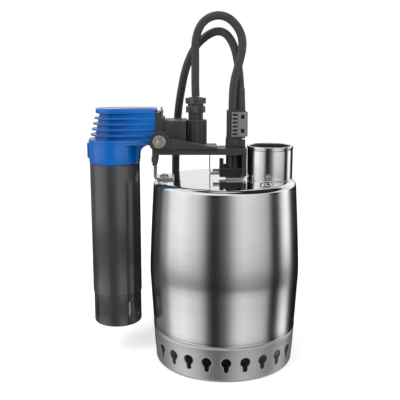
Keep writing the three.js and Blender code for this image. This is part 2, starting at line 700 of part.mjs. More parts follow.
function buildHead() {
  const half = headWidth / 2;
  const capHeight = 5;
  const footHeight = 5;
  const finPitch = (headHeight - capHeight - footHeight - finCount * finThickness) / (finCount + 1) + finThickness;
  const endRadius = (z) => floatTubeRadius + 0.5 - 8.9 * (z - headBottom) / headHeight;
  const footTop = headBottom + footHeight;
  const parts = [];
  for (let i = 0; i < finCount; i += 1) {
    const low = footTop + i * finPitch + finPitch - finThickness;
    parts.push(upright(headPlan(endRadius(low), half), low, low + finThickness, 5));
  }
  const capLow = headTop - capHeight;
  parts.push(upright(headPlan(endRadius(capLow), half), capLow, headTop, 5));
  const coreSteps = 2;
  for (let i = 0; i < coreSteps; i += 1) {
    const low = footTop + (capLow - footTop) * i / coreSteps;
    const high = footTop + (capLow - footTop) * (i + 1) / coreSteps;
    parts.push(upright(headPlan(endRadius(low) - finDepth, half - 0.8), low - 0.5, high + 0.5, 5));
  }
  const collar = turned([
    [0, collarBottom - 8], [tubeBore - gap, collarBottom - 8], [tubeBore - gap, collarBottom],
    [floatTubeRadius + 0.4, collarBottom], [floatTubeRadius + 0.4, headBottom + 1], [0, headBottom + 1],
  ], 24);
  const web = new THREE.Shape();
  web.moveTo(floatTubeRadius - 3, headBottom + 1);
  web.lineTo(floatTubeRadius - 3, collarBottom + 2);
  web.lineTo(floatTubeRadius, collarBottom + 2);
  web.absarc(floatTubeRadius + 13, headBottom - 13, 13, Math.PI, Math.PI / 2, true);
  web.lineTo(floatTubeRadius + 13, headBottom + 1);
  const tab = block([-floatTubeRadius - 1.9, -5, collarBottom + 4.5], [-floatTubeRadius + 2, 5, headBottom + 1]);
  parts.push(collar, acrossY(web, -12, 12, 6), tab);
  const magnetBore = bar(magnetRadius + 1.5, collarBottom - 9, rodTop + floatTravel + 12, 14);
  const boardPocket = block([magnetRadius + 5, -7, headBottom + 8], [headRight + 1, 7, headBottom + 24]);
  const head = combine(upright(headPlan(endRadius(headBottom), half), headBottom, footTop, 5), parts,
    [magnetBore, boardPocket]);
  place(level, 'switch_head', head, 'bluePlastic');
  const board = block([magnetRadius + 6, -6, headBottom + 12], [headRight - 2, 6, headBottom + 13.6]);
  place(level, 'reed_board', board, 'whitePlastic');
}

function buildFlange() {
  const half = boxWidth / 2;
  const plateTop = headTop - 3.6;
  const bodyTop = boxTop + 2.5;
  const wireHole = barAlongX(3, flangeLeft - 1, flangeRight + 1, 0, headBottom + 18, 12);
  const parts = [
    block([flangeLeft, -half, bodyTop - 1], [flangeLeft + 3.8, half, plateTop]),
    barAlongY(bolt.x - flangeLeft, -half - flangeBoss, -half + 2, bolt.x, bolt.z),
  ];
  const boltHole = barAlongY(boltRadius + gap, -half - 5, half + 5, bolt.x, bolt.z);
  const body = block([flangeLeft, -half, headBottom], [flangeRight, half, bodyTop]);
  place(level, 'clamp_flange', combine(body, parts, [boltHole, wireHole]), 'blackPlastic');
  const clip = [
    [flangeLeft + 5.6, bodyTop + gap], [flangeLeft + 5.6, bodyTop + 6.5], [flangeLeft + 4.6, headTop + 0.8],
  ];
  place(level, 'head_clip', acrossY(bentStrip(clip, 1.4, 1.5, 2), -6, 6), 'polishedSteel');
}

function buildTerminalBox() {
  const half = boxWidth / 2;
  const wall = 2;
  const flatRight = glandX - 9.4;
  const glandBoss = glandRadius + 1;
  const disc = { x: boxLeft + 0.5, z: headBottom + 13.4, radius: 11.4 };
  const flutes = [];
  for (let i = 0; i < 5; i += 1) {
    const angle = -2.7 + i * 0.5;
    const at = [glandX + glandBoss * Math.cos(angle), glandBoss * Math.sin(angle)];
    flutes.push(bar(1.5, headBottom - 1, boxTop + 1, 8, ...at));
  }
  const parts = [
    bar(glandBoss, headBottom, boxTop, 20, glandX),
    bar(7.2, boxTop - 1, boxTop + 12, 16, glandX),
    barAlongY(disc.radius, -half - 1.7, -half + 1, disc.x, disc.z, 20),
  ];
  const cuts = [
    ...flutes,
    block([boxLeft - 15, -half - 3, headBottom - 3], [boxLeft + 1.9, -half, boxTop + 3]),
    block([boxLeft - 15, -half - 3, headBottom - 3], [boxLeft, half, boxTop + 3]),
    block([boxLeft + wall, -half + wall, headBottom + wall], [flatRight - wall, half + 1, boxTop - wall]),
    bar(cableDiameter / 2 + gap, boxTop - 8, boxTop + 13, 12, glandX),
    barAlongX(3, boxLeft - 1, boxLeft + 4, 0, headBottom + 18, 12),
    barAlongX(2.5, flatRight - 4, glandX, 0, boxTop - 6, 12),
  ];
  place(level, 'terminal_box',
    combine(block([boxLeft, -half, headBottom], [flatRight, half, boxTop]), parts, cuts), 'blackPlastic');
  place(level, 'terminal_cover',
    block([boxLeft, half + gap, headBottom], [flatRight, half + gap + 2, boxTop]), 'blackPlastic');
  const strip = block([boxLeft + wall + 2, -6, headBottom + wall + gap], [flatRight - wall - 2, 2, headBottom + 12]);
  place(level, 'terminal_strip', strip, 'whitePlastic');
}

function buildGland() {
  const gland = groupAt(switchX + glandX, switchDepth, boxTop + 7);
  const cableHole = cableDiameter / 2 + gap;
  const nutHeight = 15;
  const body = turnedRing([
    [7.5, 0], [8.4, 0], [8.4, nutHeight], [cableHole, nutHeight], [cableHole, nutHeight - 3], [7.5, nutHeight - 3],
  ], 20);
  const lugs = [];
  const lugCount = 6;
  for (let i = 0; i < lugCount; i += 1) {
    lugs.push(block([7.9, -2.4, 0], [glandRadius, 2.4, nutHeight]).rotateZ((i + 0.5) * 2 * Math.PI / lugCount));
  }
  const groove = ring(8.7, glandRadius + 2, 6.2, 8.6, 20);
  place(gland, 'gland_nut', combine(body, lugs, [groove]), 'blackPlastic');
  place(gland, 'gland_seal', ring(cableHole, 7.1, 5 + gap, nutHeight - 3 - gap, 20), 'rubber');
}

function buildSwitchClamp() {
  const back = switchDepth - boxWidth / 2 - flangeBoss - gap;
  const front = back - 7.7;
  const bracket = groupAt(0, 0, 0);
  const wedgeTop = boltZ + 3.3;
  const tipX = plugX - 16.7;
  const low = gripTop + gap;
  const wedge = polygon([[boltX + 4, low], [tipX, low], [tipX, low + 1], [boltX + 7, wedgeTop], [boltX + 4, wedgeTop]]);
  const saddle = block([boltX + 3, front + 1, low], [tipX, gripWidth / 2 - 0.5, low + 2]);
  const boss = barAlongY(10, front, back, boltX, boltZ, 24);
  const bossClear = block([boltX - 12, front - 1, low - 12], [boltX + 12, back + 1, low]);
  const boltHole = barAlongY(boltRadius + gap, front - 1, back + 1, boltX, boltZ);
  place(bracket, 'switch_bracket',
    combine(acrossY(wedge, front + 1, front + 9), [saddle, boss], [bossClear, boltHole]), 'blackPlastic');

  const washerFront = front - gap - 1.2;
  const nutFront = washerFront - gap - 4;
  const headBack = switchDepth + boxWidth / 2 + gap;
  const hole = barAlongY(boltRadius + gap, nutFront - 5, front, boltX, boltZ);
  place(bracket, 'clamp_washer', combine(barAlongY(6.2, washerFront, front - gap, boltX, boltZ), [], [hole]),
    'polishedSteel');
  place(bracket, 'clamp_nut', combine(barAlongY(5.6, nutFront, washerFront - gap, boltX, boltZ, 6), [], [hole]),
    'polishedSteel');
  place(bracket, 'clamp_bolt', combine(barAlongY(boltRadius, nutFront - 1.4, headBack + 1, boltX, boltZ),
    [barAlongY(4.6, headBack, headBack + 3.5, boltX, boltZ, 6)]), 'polishedSteel');
}

function buildFloatTube() {
  place(level, 'float_tube', ring(tubeBore, floatTubeRadius, tubeBottom, tubeTop, 24), 'greyPlastic');
  const low = tubeBottom - gap - tubeEndLength;
  const high = tubeBottom - gap;
  const outer = floatTubeRadius - 0.7;
  const inner = outer - 3;
  const profile = [
    [inner - 4, low], [outer - 1.5, low], [outer, low + 1.5], [outer, high], [tubeBore - gap, high],
    [tubeBore - gap, high + 10], [inner, high + 10], [inner, low + 3], [inner - 4, low + 3],
  ];
  const slots = [];
  for (let i = 0; i < 4; i += 1) {
    const slot = block([inner - 2, -2, low + 8], [outer + 2, 2, high - 7]);
    slots.push(slot.rotateZ(i * Math.PI / 2 - 0.9));
  }
  place(level, 'tube_end', combine(turnedRing(profile, 24), [], slots), 'greyPlastic');

  const floatRadius = tubeBore - floatPlay;
  const floatTop = floatRest + floatHeight;
  const body = [
    [0, floatRest], [floatRadius - 3, floatRest], [floatRadius, floatRest + 3],
    [floatRadius, floatTop - 3], [floatRadius - 3, floatTop], [rodRadius + gap, floatTop],
    [rodRadius + gap, floatTop - 15], [0, floatTop - 15],
  ];
  place(level, 'float', turned(body, 20), 'whitePlastic');
  place(level, 'float_rod', bar(rodRadius, floatTop - 15 + gap, rodTop, 16), 'plainSteel');
  place(level, 'float_magnet', ring(rodRadius + gap, magnetRadius, rodTop - magnetHeight, rodTop, 20), 'magnet');
  place(level, 'magnet_stop', ring(rodRadius + gap, 4.5, rodTop - magnetHeight - gap - 2, rodTop - magnetHeight - gap, 16),
    'whitePlastic');
}

// ---- Leads: the switch lead is held at both ends, the mains lead lies coiled behind the pump ----
const switchLeadRoute = [
  [glandX + switchX, switchDepth, boxTop + 22.5], [-29, 11, 275], [-29, 11, 289], [-29, 10.8, 301],
  [-29, 10.4, 311], [-28, 9.8, 320], [-25, 9, 329], [-20, 8.2, 335.5], [-13, 7.2, 339.5], [-6, 6.2, 340.5],
  [1.5, 5, 338.5], [8, 4, 333.5], [13, 3, 326.5], [15.8, 2, 318], [15.8, 1, 309], [14, 0, 300], [11.5, -0.8, 290.5],
  [9, -1.4, 281], [7.7, -1.5, 271], [plugX + inletFront[0], plugY + inletFront[1], 262],
  [plugX + inletFront[0], plugY + inletFront[1], clampTop - 11],
];
const mainsRoute = [
  [plugX + inletBack[0], plugY + inletBack[1], clampTop - 11], [plugX + inletBack[0], plugY + inletBack[1], 262],
  [14.6, 5, 272], [14, 7, 282], [13, 8.6, 291], [11.5, 10.4, 301], [9, 12.4, 310.5], [4.8, 14.6, 319], [-0.5, 16.8, 324.5],
  [-6.5, 19, 326.2], [-13.5, 21.4, 324.5], [-20.5, 24, 320], [-26.5, 26.4, 314.5], [-31, 28.6, 308], [-35, 31, 300],
  [-38.5, 33.6, 290.5], [-41, 35.6, 281], [-43, 37.8, 271], [-45, 40.4, 260], [-47, 44, 245], [-48.6, 50, 225],
  [-50, 57.5, 203], [-50.6, 63, 182], [-51, 65.5, 155], [-51.5, 67, 115], [-52, 67.5, 75], [-52, 67.5, 39],
  [-52, 70, 26.2], [-51.8, 77.2, 15.5], [-51.5, 87.9, 8.3], [-51, 100.3, 5.8],
];
const tailRoute = [
  [-33.5, 192.4, 38.2], [-25, 194.2, 43], [-16.5, 193, 47.8], [-9.5, 189.9, 51.3], [-5, 188.2, 52.4], [-0.9, 188, 52.5],
];

function buildLeads() {
  const spacing = 2.6 * cableDiameter;
  place(pump, 'switch_lead', cable(switchLeadRoute, cableDiameter, spacing * 0.6), 'rubber');
  place(pump, 'mains_lead', cable(mainsRoute, cableDiameter, spacing), 'rubber');
  place(pump, 'mains_tail', cable(tailRoute, cableDiameter, spacing), 'rubber');

  const coil = groupAt(...coilCentre, 1.8);
  const half = coilBundle / 2;
  const soft = 5;
  const bundle = [
    [coilRadius - half, soft], [coilRadius - half + soft, 0], [coilRadius + half - soft, 0], [coilRadius + half, soft],
    [coilRadius + half, coilBundle - soft], [coilRadius + half - soft, coilBundle],
    [coilRadius - half + soft, coilBundle], [coilRadius - half, coilBundle - soft],
  ];
  place(coil, 'mains_coil', turnedRing(bundle, 24), 'rubber');
  const window = half + 0.7;
  const outer = window + 1;
  const around = new THREE.Shape();
  const corner = 4;
  const frame = (path, reach) => {
    path.moveTo(coilRadius - reach + corner, half - reach);
    path.lineTo(coilRadius + reach - corner, half - reach);
    path.lineTo(coilRadius + reach, half - reach + corner);
    path.lineTo(coilRadius + reach, half + reach - corner);
    path.lineTo(coilRadius + reach - corner, half + reach);
    path.lineTo(coilRadius - reach + corner, half + reach);
    path.lineTo(coilRadius - reach, half + reach - corner);
    path.lineTo(coilRadius - reach, half - reach + corner);
  };
  frame(around, outer);
  const opening = new THREE.Path();
  frame(opening, window);
  around.holes.push(opening);
  place(coil, 'coil_tie', acrossY(around, -3, 3).rotateZ(-Math.PI / 3), 'blackPlastic');
}

function buildMainsPlug() {
  const plug = groupAt(0, 188, 52.5);
  const profile = [[0, 0], [5.2, 0], [6.4, 12], [9, 20], [15.5, 30], [18.4, 46], [18.4, 58], [0, 58]];
  const pinSpacing = 19;
  const pins = [-1, 1].map((side) => bar(2.4, 50, 77, 12, 0, side * pinSpacing / 2));
  place(plug, 'mains_plug', combine(turned(profile, 20), pins).rotateY(Math.PI / 2), 'blackPlastic');
}

buildCasing();
buildStrainer();
buildPort();
buildHydraulics();
buildMotor();
buildHandle();
buildPlug();
buildHead();
buildFlange();
buildTerminalBox();
buildGland();
buildSwitchClamp();
buildFloatTube();
buildLeads();
buildMainsPlug();

export default pump;
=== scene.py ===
"""Stainless submersible sump pump with an upright float-tube level switch, put together piece by piece.

Sizes in the sections are in millimetres, and MM turns them into the metres of the frame.
"""
import math

import bpy
import bmesh
from mathutils import Matrix, Vector


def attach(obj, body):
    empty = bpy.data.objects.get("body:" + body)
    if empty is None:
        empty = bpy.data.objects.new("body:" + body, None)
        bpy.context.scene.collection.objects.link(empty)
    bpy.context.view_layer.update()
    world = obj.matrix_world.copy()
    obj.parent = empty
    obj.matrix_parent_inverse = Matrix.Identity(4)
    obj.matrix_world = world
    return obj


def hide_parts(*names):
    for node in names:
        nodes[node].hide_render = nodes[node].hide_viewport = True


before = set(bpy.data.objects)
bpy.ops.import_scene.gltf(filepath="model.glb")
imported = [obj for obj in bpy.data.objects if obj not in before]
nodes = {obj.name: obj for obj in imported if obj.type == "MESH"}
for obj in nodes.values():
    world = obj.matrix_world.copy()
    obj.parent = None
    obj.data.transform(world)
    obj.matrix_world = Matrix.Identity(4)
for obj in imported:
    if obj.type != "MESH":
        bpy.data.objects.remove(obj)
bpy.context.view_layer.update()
scene = bpy.context.scene
MM = 0.001

# ---- Camera ----
# A long lens a little left of the pump's axis and a little above it, on a level head that is tipped slightly
# down, so that the whole pump is in view.
lens = bpy.data.cameras.new("studio_lens")
lens.sensor_width = 36
lens.lens = 63
camera = bpy.data.objects.new("studio_camera", lens)
scene.collection.objects.link(camera)
camera.location = (-0.0244, -0.683, 0.2978)
camera.rotation_euler = (math.radians(90 - 11.23), 0, 0)
scene.camera = camera

# ---- Leads ----
# Two round leads with a rubber sheath. The mains lead arches over the pump, drops behind the casing and lies
# wound up there, and the switch lead runs in an arch from the terminal box back into the cable clamp. Each is
# extruded round its cores, so it is one smooth sweep along its route.


def named_group(name, inputs, outputs):
    """An empty shader node group with its sockets, its input node and its output node."""
    group = bpy.data.node_groups.new(name, "ShaderNodeTree")
    kinds = {float: "NodeSocketFloat", tuple: "NodeSocketColor", list: "NodeSocketVector"}
    for label, value in inputs.items():
        socket = group.interface.new_socket(label, in_out="INPUT", socket_type=kinds[type(value)])
        socket.default_value = value
    for label, kind in outputs.items():
        group.interface.new_socket(label, in_out="OUTPUT", socket_type=kinds[kind])
    return group, group.nodes.new("NodeGroupInput"), group.nodes.new("NodeGroupOutput")


def add_node(tree, kind, links=None, **settings):
    """A node with its settings, its plain input values, and the sockets that feed it."""
    node = tree.nodes.new(kind)
    for key, value in settings.items():
        setattr(node, key, value)
    for label, value in (links or {}).items():
        socket = node.inputs[label]
        if isinstance(value, bpy.types.NodeSocket):
            tree.links.new(value, socket)
        else:
            socket.default_value = value
    return node


def sums(tree, operation, first, second=0.5, third=None, clamp=False):
    """One Math node's answer."""
    values = {0: first, 1: second}
    if third is not None:
        values[2] = third
    return add_node(tree, "ShaderNodeMath", values, operation=operation, use_clamp=clamp).outputs[0]


def noise(tree, place, scale, detail):
    """A noise texture's value."""
    return add_node(tree, "ShaderNodeTexNoise", {"Vector": place, "Scale": scale, "Detail": detail}).outputs[0]


def rise(tree, value, low, high):
    """0 where the value is low or less, 1 where it is high or more."""
    return add_node(tree, "ShaderNodeMapRange", {"Value": value, "From Min": low, "From Max": high}).outputs[0]


def make_grain_group():
    """Moulded or worn surface texture: a fine grain's height, and a slow mottling from 0 to 1."""
    group, ins, outs = named_group(
        "surface_grain", {"Grain Size": 0.0004, "Mottle Size": 0.03}, {"Height": float, "Mottle": float})
    place = group.nodes.new("ShaderNodeTexCoord").outputs["Object"]
    grain = noise(group, place, sums(group, "DIVIDE", 1.0, ins.outputs["Grain Size"]), 2.0)
    mottle = noise(group, place, sums(group, "DIVIDE", 1.0, ins.outputs["Mottle Size"]), 4.0)
    group.links.new(grain, outs.inputs["Height"])
    group.links.new(mottle, outs.inputs["Mottle"])
    return group


def make_wear_group():
    """Rubbed edges: 1 on sharp outside corners, broken up by noise, and 0 on flat faces."""
    group, ins, outs = named_group("edge_wear", {"Width": 0.0006, "Amount": 0.6}, {"Wear": float})
    rounded = add_node(group, "ShaderNodeBevel", {"Radius": ins.outputs["Width"]}, samples=4)
    plain = group.nodes.new("ShaderNodeNewGeometry").outputs["Normal"]
    turn = add_node(group, "ShaderNodeVectorMath", {0: rounded.outputs[0], 1: plain}, operation="DOT_PRODUCT")
    edge = sums(group, "MULTIPLY", sums(group, "SUBTRACT", 1.0, turn.outputs["Value"]), 6.0)
    place = group.nodes.new("ShaderNodeTexCoord").outputs["Object"]
    patchy = sums(group, "MULTIPLY", edge, sums(group, "MULTIPLY", noise(group, place, 260.0, 3.0), 1.6))
    group.links.new(sums(group, "MULTIPLY", patchy, ins.outputs["Amount"], clamp=True), outs.inputs["Wear"])
    return group


def make_dust_group():
    """Dust that has settled on faces that look up, in soft patches."""
    group, ins, outs = named_group("settled_dust", {"Amount": 0.3}, {"Dust": float})
    normal = group.nodes.new("ShaderNodeNewGeometry").outputs["Normal"]
    up = add_node(group, "ShaderNodeSeparateXYZ", {0: normal}).outputs[2]
    place = group.nodes.new("ShaderNodeTexCoord").outputs["Object"]
    patches = rise(group, noise(group, place, 90.0, 5.0), 0.35, 0.75)
    both = sums(group, "MULTIPLY", rise(group, up, 0.2, 1.0), patches)
    group.links.new(sums(group, "MULTIPLY", both, ins.outputs["Amount"], clamp=True), outs.inputs["Dust"])
    return group


grain_group = make_grain_group()
wear_group = make_wear_group()
dust_group = make_dust_group()


def blend_colours(tree, share, first, second):
    """Colour first where share is 0 and second where it is 1."""
    node = add_node(tree, "ShaderNodeMix", {0: share}, data_type="RGBA")
    for index, value in ((6, first), (7, second)):
        if isinstance(value, bpy.types.NodeSocket):
            tree.links.new(value, node.inputs[index])
        else:
            node.inputs[index].default_value = value
    return node.outputs[2]


def tinted(colour, factor):
    return tuple(min(c * factor, 1) for c in colour[:3]) + (1.0,)


def polymer(name, colour, worn, roughness, grain=0.0005, bump=0.05, dust=0.25, specular=0.5, wear=0.5,
            spread=0.12):
    """Moulded plastic or rubber: mottled colour, fine grain, paler rubbed edges and a little dust."""
    made = bpy.data.materials.new(name)
    made.use_nodes = True
    tree = made.node_tree
    shader = tree.nodes["Principled BSDF"]
    shader.inputs["Specular IOR Level"].default_value = specular
    texture = add_node(tree, "ShaderNodeGroup", {"Grain Size": grain}, node_tree=grain_group)
    edges = add_node(tree, "ShaderNodeGroup", {"Amount": wear}, node_tree=wear_group)
    settled = add_node(tree, "ShaderNodeGroup", {"Amount": dust}, node_tree=dust_group)
    tone = blend_colours(tree, texture.outputs["Mottle"], tinted(colour, 0.82), tinted(colour, 1.18))
    tone = blend_colours(tree, edges.outputs["Wear"], tone, worn)
    tone = blend_colours(tree, settled.outputs["Dust"], tone, (0.42, 0.41, 0.39, 1.0))
    tree.links.new(tone, shader.inputs["Base Color"])
    rough = sums(tree, "MULTIPLY_ADD", texture.outputs["Mottle"], spread * 2, roughness - spread)
    rough = sums(tree, "MULTIPLY_ADD", settled.outputs["Dust"], 0.3, rough, clamp=True)
    tree.links.new(rough, shader.inputs["Roughness"])
    relief = add_node(tree, "ShaderNodeBump", {
        "Height": texture.outputs["Height"], "Strength": bump, "Distance": 0.0006})
    tree.links.new(relief.outputs[0], shader.inputs["Normal"])
    return made


lead_rubber = polymer(
    "lead_rubber", (0.026, 0.0265, 0.028, 1), (0.06, 0.06, 0.062, 1), 0.45, grain=0.0007, dust=0.15)


def lead_curve(name, route, diameter):
    """A smooth round lead along a route, as one open spline."""
    curve = bpy.data.curves.new(name, "CURVE")
    curve.dimensions = "3D"
    curve.bevel_depth = diameter / 2 * MM
    curve.bevel_resolution = 5
    curve.resolution_u = 6
    curve.use_fill_caps = True
    spline = curve.splines.new("BEZIER")
    spline.bezier_points.add(len(route) - 1)
    for point, at in zip(spline.bezier_points, route):
        point.co = Vector(at) * MM
        point.handle_left_type = point.handle_right_type = "AUTO"
    lead = bpy.data.objects.new(name, curve)
    scene.collection.objects.link(lead)
    curve.materials.append(lead_rubber)
    return lead


def finish_piece(piece, body, slot, *stands_for):
    """Says which body the piece moves with and which plain solids it stands for; the slot, its finish, is not
    used.
    """
    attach(piece, body)
    if stands_for:
        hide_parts(*stands_for)
    return piece


lead_diameter = 8
over_the_pump = [
    (14.75, 4, 240), (14.75, 4, 262), (14.6, 5, 272), (14, 7, 282), (13, 8.6, 291), (11.5, 10.4, 301),
    (9, 12.4, 310.5), (4.8, 14.6, 319), (-0.5, 16.8, 324.5), (-6.5, 19, 326.2), (-13.5, 21.4, 324.5),
    (-20.5, 24, 320), (-26.5, 26.4, 314.5), (-31, 28.6, 308), (-35, 31, 300), (-38.5, 33.6, 290.5),
    (-41, 35.6, 281), (-43, 37.8, 271), (-45, 40.4, 260), (-47, 44, 245), (-48.6, 50, 225), (-50, 57.5, 203),
    (-50.6, 63, 182), (-51, 65.5, 155), (-51.5, 67, 115), (-52, 67.5, 75), (-52, 67.5, 39), (-52, 70, 26.2),
    (-51.8, 77.2, 15.5), (-51.5, 87.9, 8.3), (-51, 100.3, 5.8), (-51, 117, 5.8), (-51, 134, 5.8),
]
to_the_plug = [
    (-45.4, 183.4, 31.6), (-39.8, 188.8, 34.6), (-33.5, 192.4, 38.2), (-25, 194.2, 43), (-16.5, 193, 47.8),
    (-9.5, 189.9, 51.3), (-5, 188.2, 52.4), (0, 188, 52.5), (7, 188, 52.5),
]
# Each turn's radius and layer, from the first wound to the last.
turns = [
    (44, 0), (36, 0), (36, 1), (44, 1), (52, 0), (60, 0), (60, 1), (52, 1), (52, 2), (44, 2), (36, 2), (36, 3),
    (44, 3), (52, 3),
]
coil_middle = Vector((-5, 150, 5.8))


def wound_turns():
    """The coil's points, clockwise from its left side; each turn moves to its next place near its end."""
    move_from, move_over, crossing, crossing_reach = 250, 55, 330, 50
    past_last, swing_in, narrowest_over = 30, 30, 46
    points = []
    for travelled in range(0, len(turns) * 360 + past_last + 1, 15):
        number, part = divmod(travelled, 360)
        radius, layer = turns[min(number, len(turns) - 1)]
        next_radius, next_layer = turns[min(number + 1, len(turns) - 1)]
        share = min(max((part - move_from) / move_over, 0), 1)
        share = share * share * (3 - 2 * share)
        radius += (next_radius - radius) * share
        height = lead_diameter * (layer + (next_layer - layer) * share)
        if travelled < swing_in:
            radius += 2 * (1 - travelled / swing_in)
        # the outer turns rise over the lead where it comes in under them
        from_crossing = (part - crossing + 180) % 360 - 180
        if travelled > 360 and abs(from_crossing) < crossing_reach and radius > narrowest_over:
            swell = 0.5 * (1 + math.cos(math.pi * from_crossing / crossing_reach))
            height += lead_diameter * min((radius - narrowest_over) / 6, 1) * swell
        angle = math.radians(180 - travelled)
        points.append(coil_middle + Vector((radius * math.cos(angle), radius * math.sin(angle), height)))
    return points


mains_lead = lead_curve("mains_lead_whole", over_the_pump + wound_turns() + to_the_plug, lead_diameter)
finish_piece(mains_lead, "pump", "rubber", "mains_lead", "mains_coil", "mains_tail")

over_to_the_clamp = [
    (-28.65, 11, 263.5), (-29, 11, 275), (-29, 11, 289), (-29, 10.8, 301), (-29, 10.4, 311), (-28, 9.8, 320),
    (-25, 9, 329), (-20, 8.2, 335.5), (-13, 7.2, 339.5), (-6, 6.2, 340.5), (1.5, 5, 338.5), (8, 4, 333.5),
    (13, 3, 326.5), (15.8, 2, 318), (15.8, 1, 309), (14, 0, 300), (11.5, -0.8, 290.5), (9, -1.4, 281),
    (7.7, -1.5, 271), (7.25, -1.5, 262), (7.25, -1.5, 240),
]
switch_lead = lead_curve("switch_lead_arch", over_to_the_clamp, lead_diameter)
finish_piece(switch_lead, "pump", "rubber", "switch_lead")

# ---- Mains plug and its pins ----
# A rubber plug moulded on the end of the mains lead, with a ribbed, tapering neck and two plated pins that are
# pressed into it. It lies on the wound turns.


def mesh_piece(name, vertices, faces, material, smooth=35):
    """A mesh object from points in millimetres, with soft shading except over sharp corners."""
    mesh = bpy.data.meshes.new(name)
    mesh.from_pydata([Vector(v) * MM for v in vertices], [], faces)
    shape = bmesh.new()
    shape.from_mesh(mesh)
    bmesh.ops.recalc_face_normals(shape, faces=shape.faces)
    shape.to_mesh(mesh)
    shape.free()
    mesh.polygons.foreach_set("use_smooth", [True] * len(mesh.polygons))
    mesh.set_sharp_from_angle(angle=math.radians(smooth))
    mesh.materials.append(material)
    piece = bpy.data.objects.new(name, mesh)
    scene.collection.objects.link(piece)
    return piece


def turned_shape(profile, sides, at=(0, 0, 0), axis="Z"):
    """Points and faces of a closed turned body: a profile that ends on the axis, or that closes on itself."""
    solid = profile[0][0] == 0 and profile[-1][0] == 0
    vertices, faces = [], []
    rings = profile[1:-1] if solid else profile
    for radius, height in rings:
        for k in range(sides):
            angle = 2 * math.pi * k / sides
            vertices.append((radius * math.cos(angle), radius * math.sin(angle), height))
    count = len(rings)
    for r in range(count - 1 if solid else count):
        low, high = r * sides, (r + 1) % count * sides
        for k in range(sides):
            n = (k + 1) % sides
            faces.append((low + k, low + n, high + n, high + k))
    if solid:
        for ring_start, (_, height) in ((0, profile[0]), ((count - 1) * sides, profile[-1])):
            vertices.append((0, 0, height))
            middle = len(vertices) - 1
            faces += [(ring_start + k, ring_start + (k + 1) % sides, middle) for k in range(sides)]
    turn = {"Z": lambda v: v, "X": lambda v: (v[2], v[0], v[1]), "Y": lambda v: (v[0], v[2], -v[1])}[axis]
    moved = [tuple(c + o for c, o in zip(turn(v), at)) for v in vertices]
    return moved, faces


def turned_piece(name, profile, material, sides=96, at=(0, 0, 0), axis="Z", smooth=35):
    return mesh_piece(name, *turned_shape(profile, sides, at, axis), material, smooth)


def rounded_profile(corners, radius=0.5, steps=3, closed=True):
    """A profile with each corner rounded; a corner can bring its own radius as a third number."""
    points = []
    count = len(corners)
    for i, corner in enumerate(corners):
        size = corner[2] if len(corner) > 2 else radius
        if not closed and i in (0, count - 1):
            points.append(tuple(corner[:2]))
            continue
        here = Vector(corner[:2])
        back = Vector(corners[i - 1][:2]) - here
        ahead = Vector(corners[(i + 1) % count][:2]) - here
        reach = min(size, back.length * 0.45, ahead.length * 0.45)
        start, end = here + back.normalized() * reach, here + ahead.normalized() * reach
        for k in range(steps + 1):
            t = k / steps
            points.append(tuple((1 - t) ** 2 * start + 2 * t * (1 - t) * here + t * t * end))
    return points


def joined(name, *pieces):
    """Several meshes as one object."""
    with bpy.context.temp_override(active_object=pieces[0], selected_editable_objects=list(pieces),
                                   selected_objects=list(pieces)):
        bpy.ops.object.join()
    pieces[0].name = name
    return pieces[0]


black_moulding = polymer(
    "black_moulding", (0.026, 0.0265, 0.028, 1), (0.10, 0.10, 0.105, 1), 0.44, bump=0.09, wear=0.35)
plug_place = (0, 188, 52.5)
neck = [(0, 0), (4.9, 0)]
for rib in range(5):
    start = 1.2 + rib * 3.6
    swell = 5.0 + rib * 0.55
    neck += [(swell + 0.5, start), (swell + 0.9, start + 1.2), (swell + 0.8, start + 2.0),
             (swell - 0.1, start + 2.4), (swell, start + 3.4)]
moulded = neck + [
    (8.8, 20), (12.6, 25), (15.8, 31), (17.6, 38), (18.3, 46), (18.4, 50), (18.2, 56.6), (17.4, 57.8),
    (15.6, 58), (0, 58)]
plug_moulding = turned_piece("mains_plug_moulding", moulded, black_moulding, 72, plug_place, "X")
finish_piece(plug_moulding, "pump", "black_plastic", "mains_plug")


def make_streak_group():
    """Brushed metal: fine streaks round the Z axis, as height and as a tint from 0 to 1, and slow smears."""
    group, ins, outs = named_group("turned_streaks", {"Pitch": 0.0006, "Smear Size": 0.05}, {
        "Height": float, "Tint": float, "Smear": float})
    place = group.nodes.new("ShaderNodeTexCoord").outputs["Object"]
    split = add_node(group, "ShaderNodeSeparateXYZ", {0: place}).outputs
    angle = sums(group, "ARCTAN2", split[1], split[0])
    squares = sums(group, "ADD", sums(group, "POWER", split[0], 2.0), sums(group, "POWER", split[1], 2.0))
    height_and_out = sums(group, "ADD", split[2], sums(group, "SQRT", squares))
    across = sums(group, "DIVIDE", height_and_out, ins.outputs["Pitch"])
    fine = add_node(group, "ShaderNodeCombineXYZ", {0: sums(group, "MULTIPLY", angle, 4.0), 1: across, 2: 0.0})
    streak = noise(group, fine.outputs[0], 1.0, 3.0)
    broad = add_node(group, "ShaderNodeCombineXYZ", {
        0: sums(group, "MULTIPLY", angle, 1.5), 1: sums(group, "MULTIPLY", across, 0.07), 2: 0.0})
    band = noise(group, broad.outputs[0], 1.0, 2.0)
    smear = noise(group, place, sums(group, "DIVIDE", 1.0, ins.outputs["Smear Size"]), 4.0)
    group.links.new(streak, outs.inputs["Height"])
    tint = sums(group, "MULTIPLY_ADD", streak, 0.6, sums(group, "MULTIPLY", band, 0.4))
    group.links.new(tint, outs.inputs["Tint"])
    group.links.new(smear, outs.inputs["Smear"])
    return group


streak_group = make_streak_group()


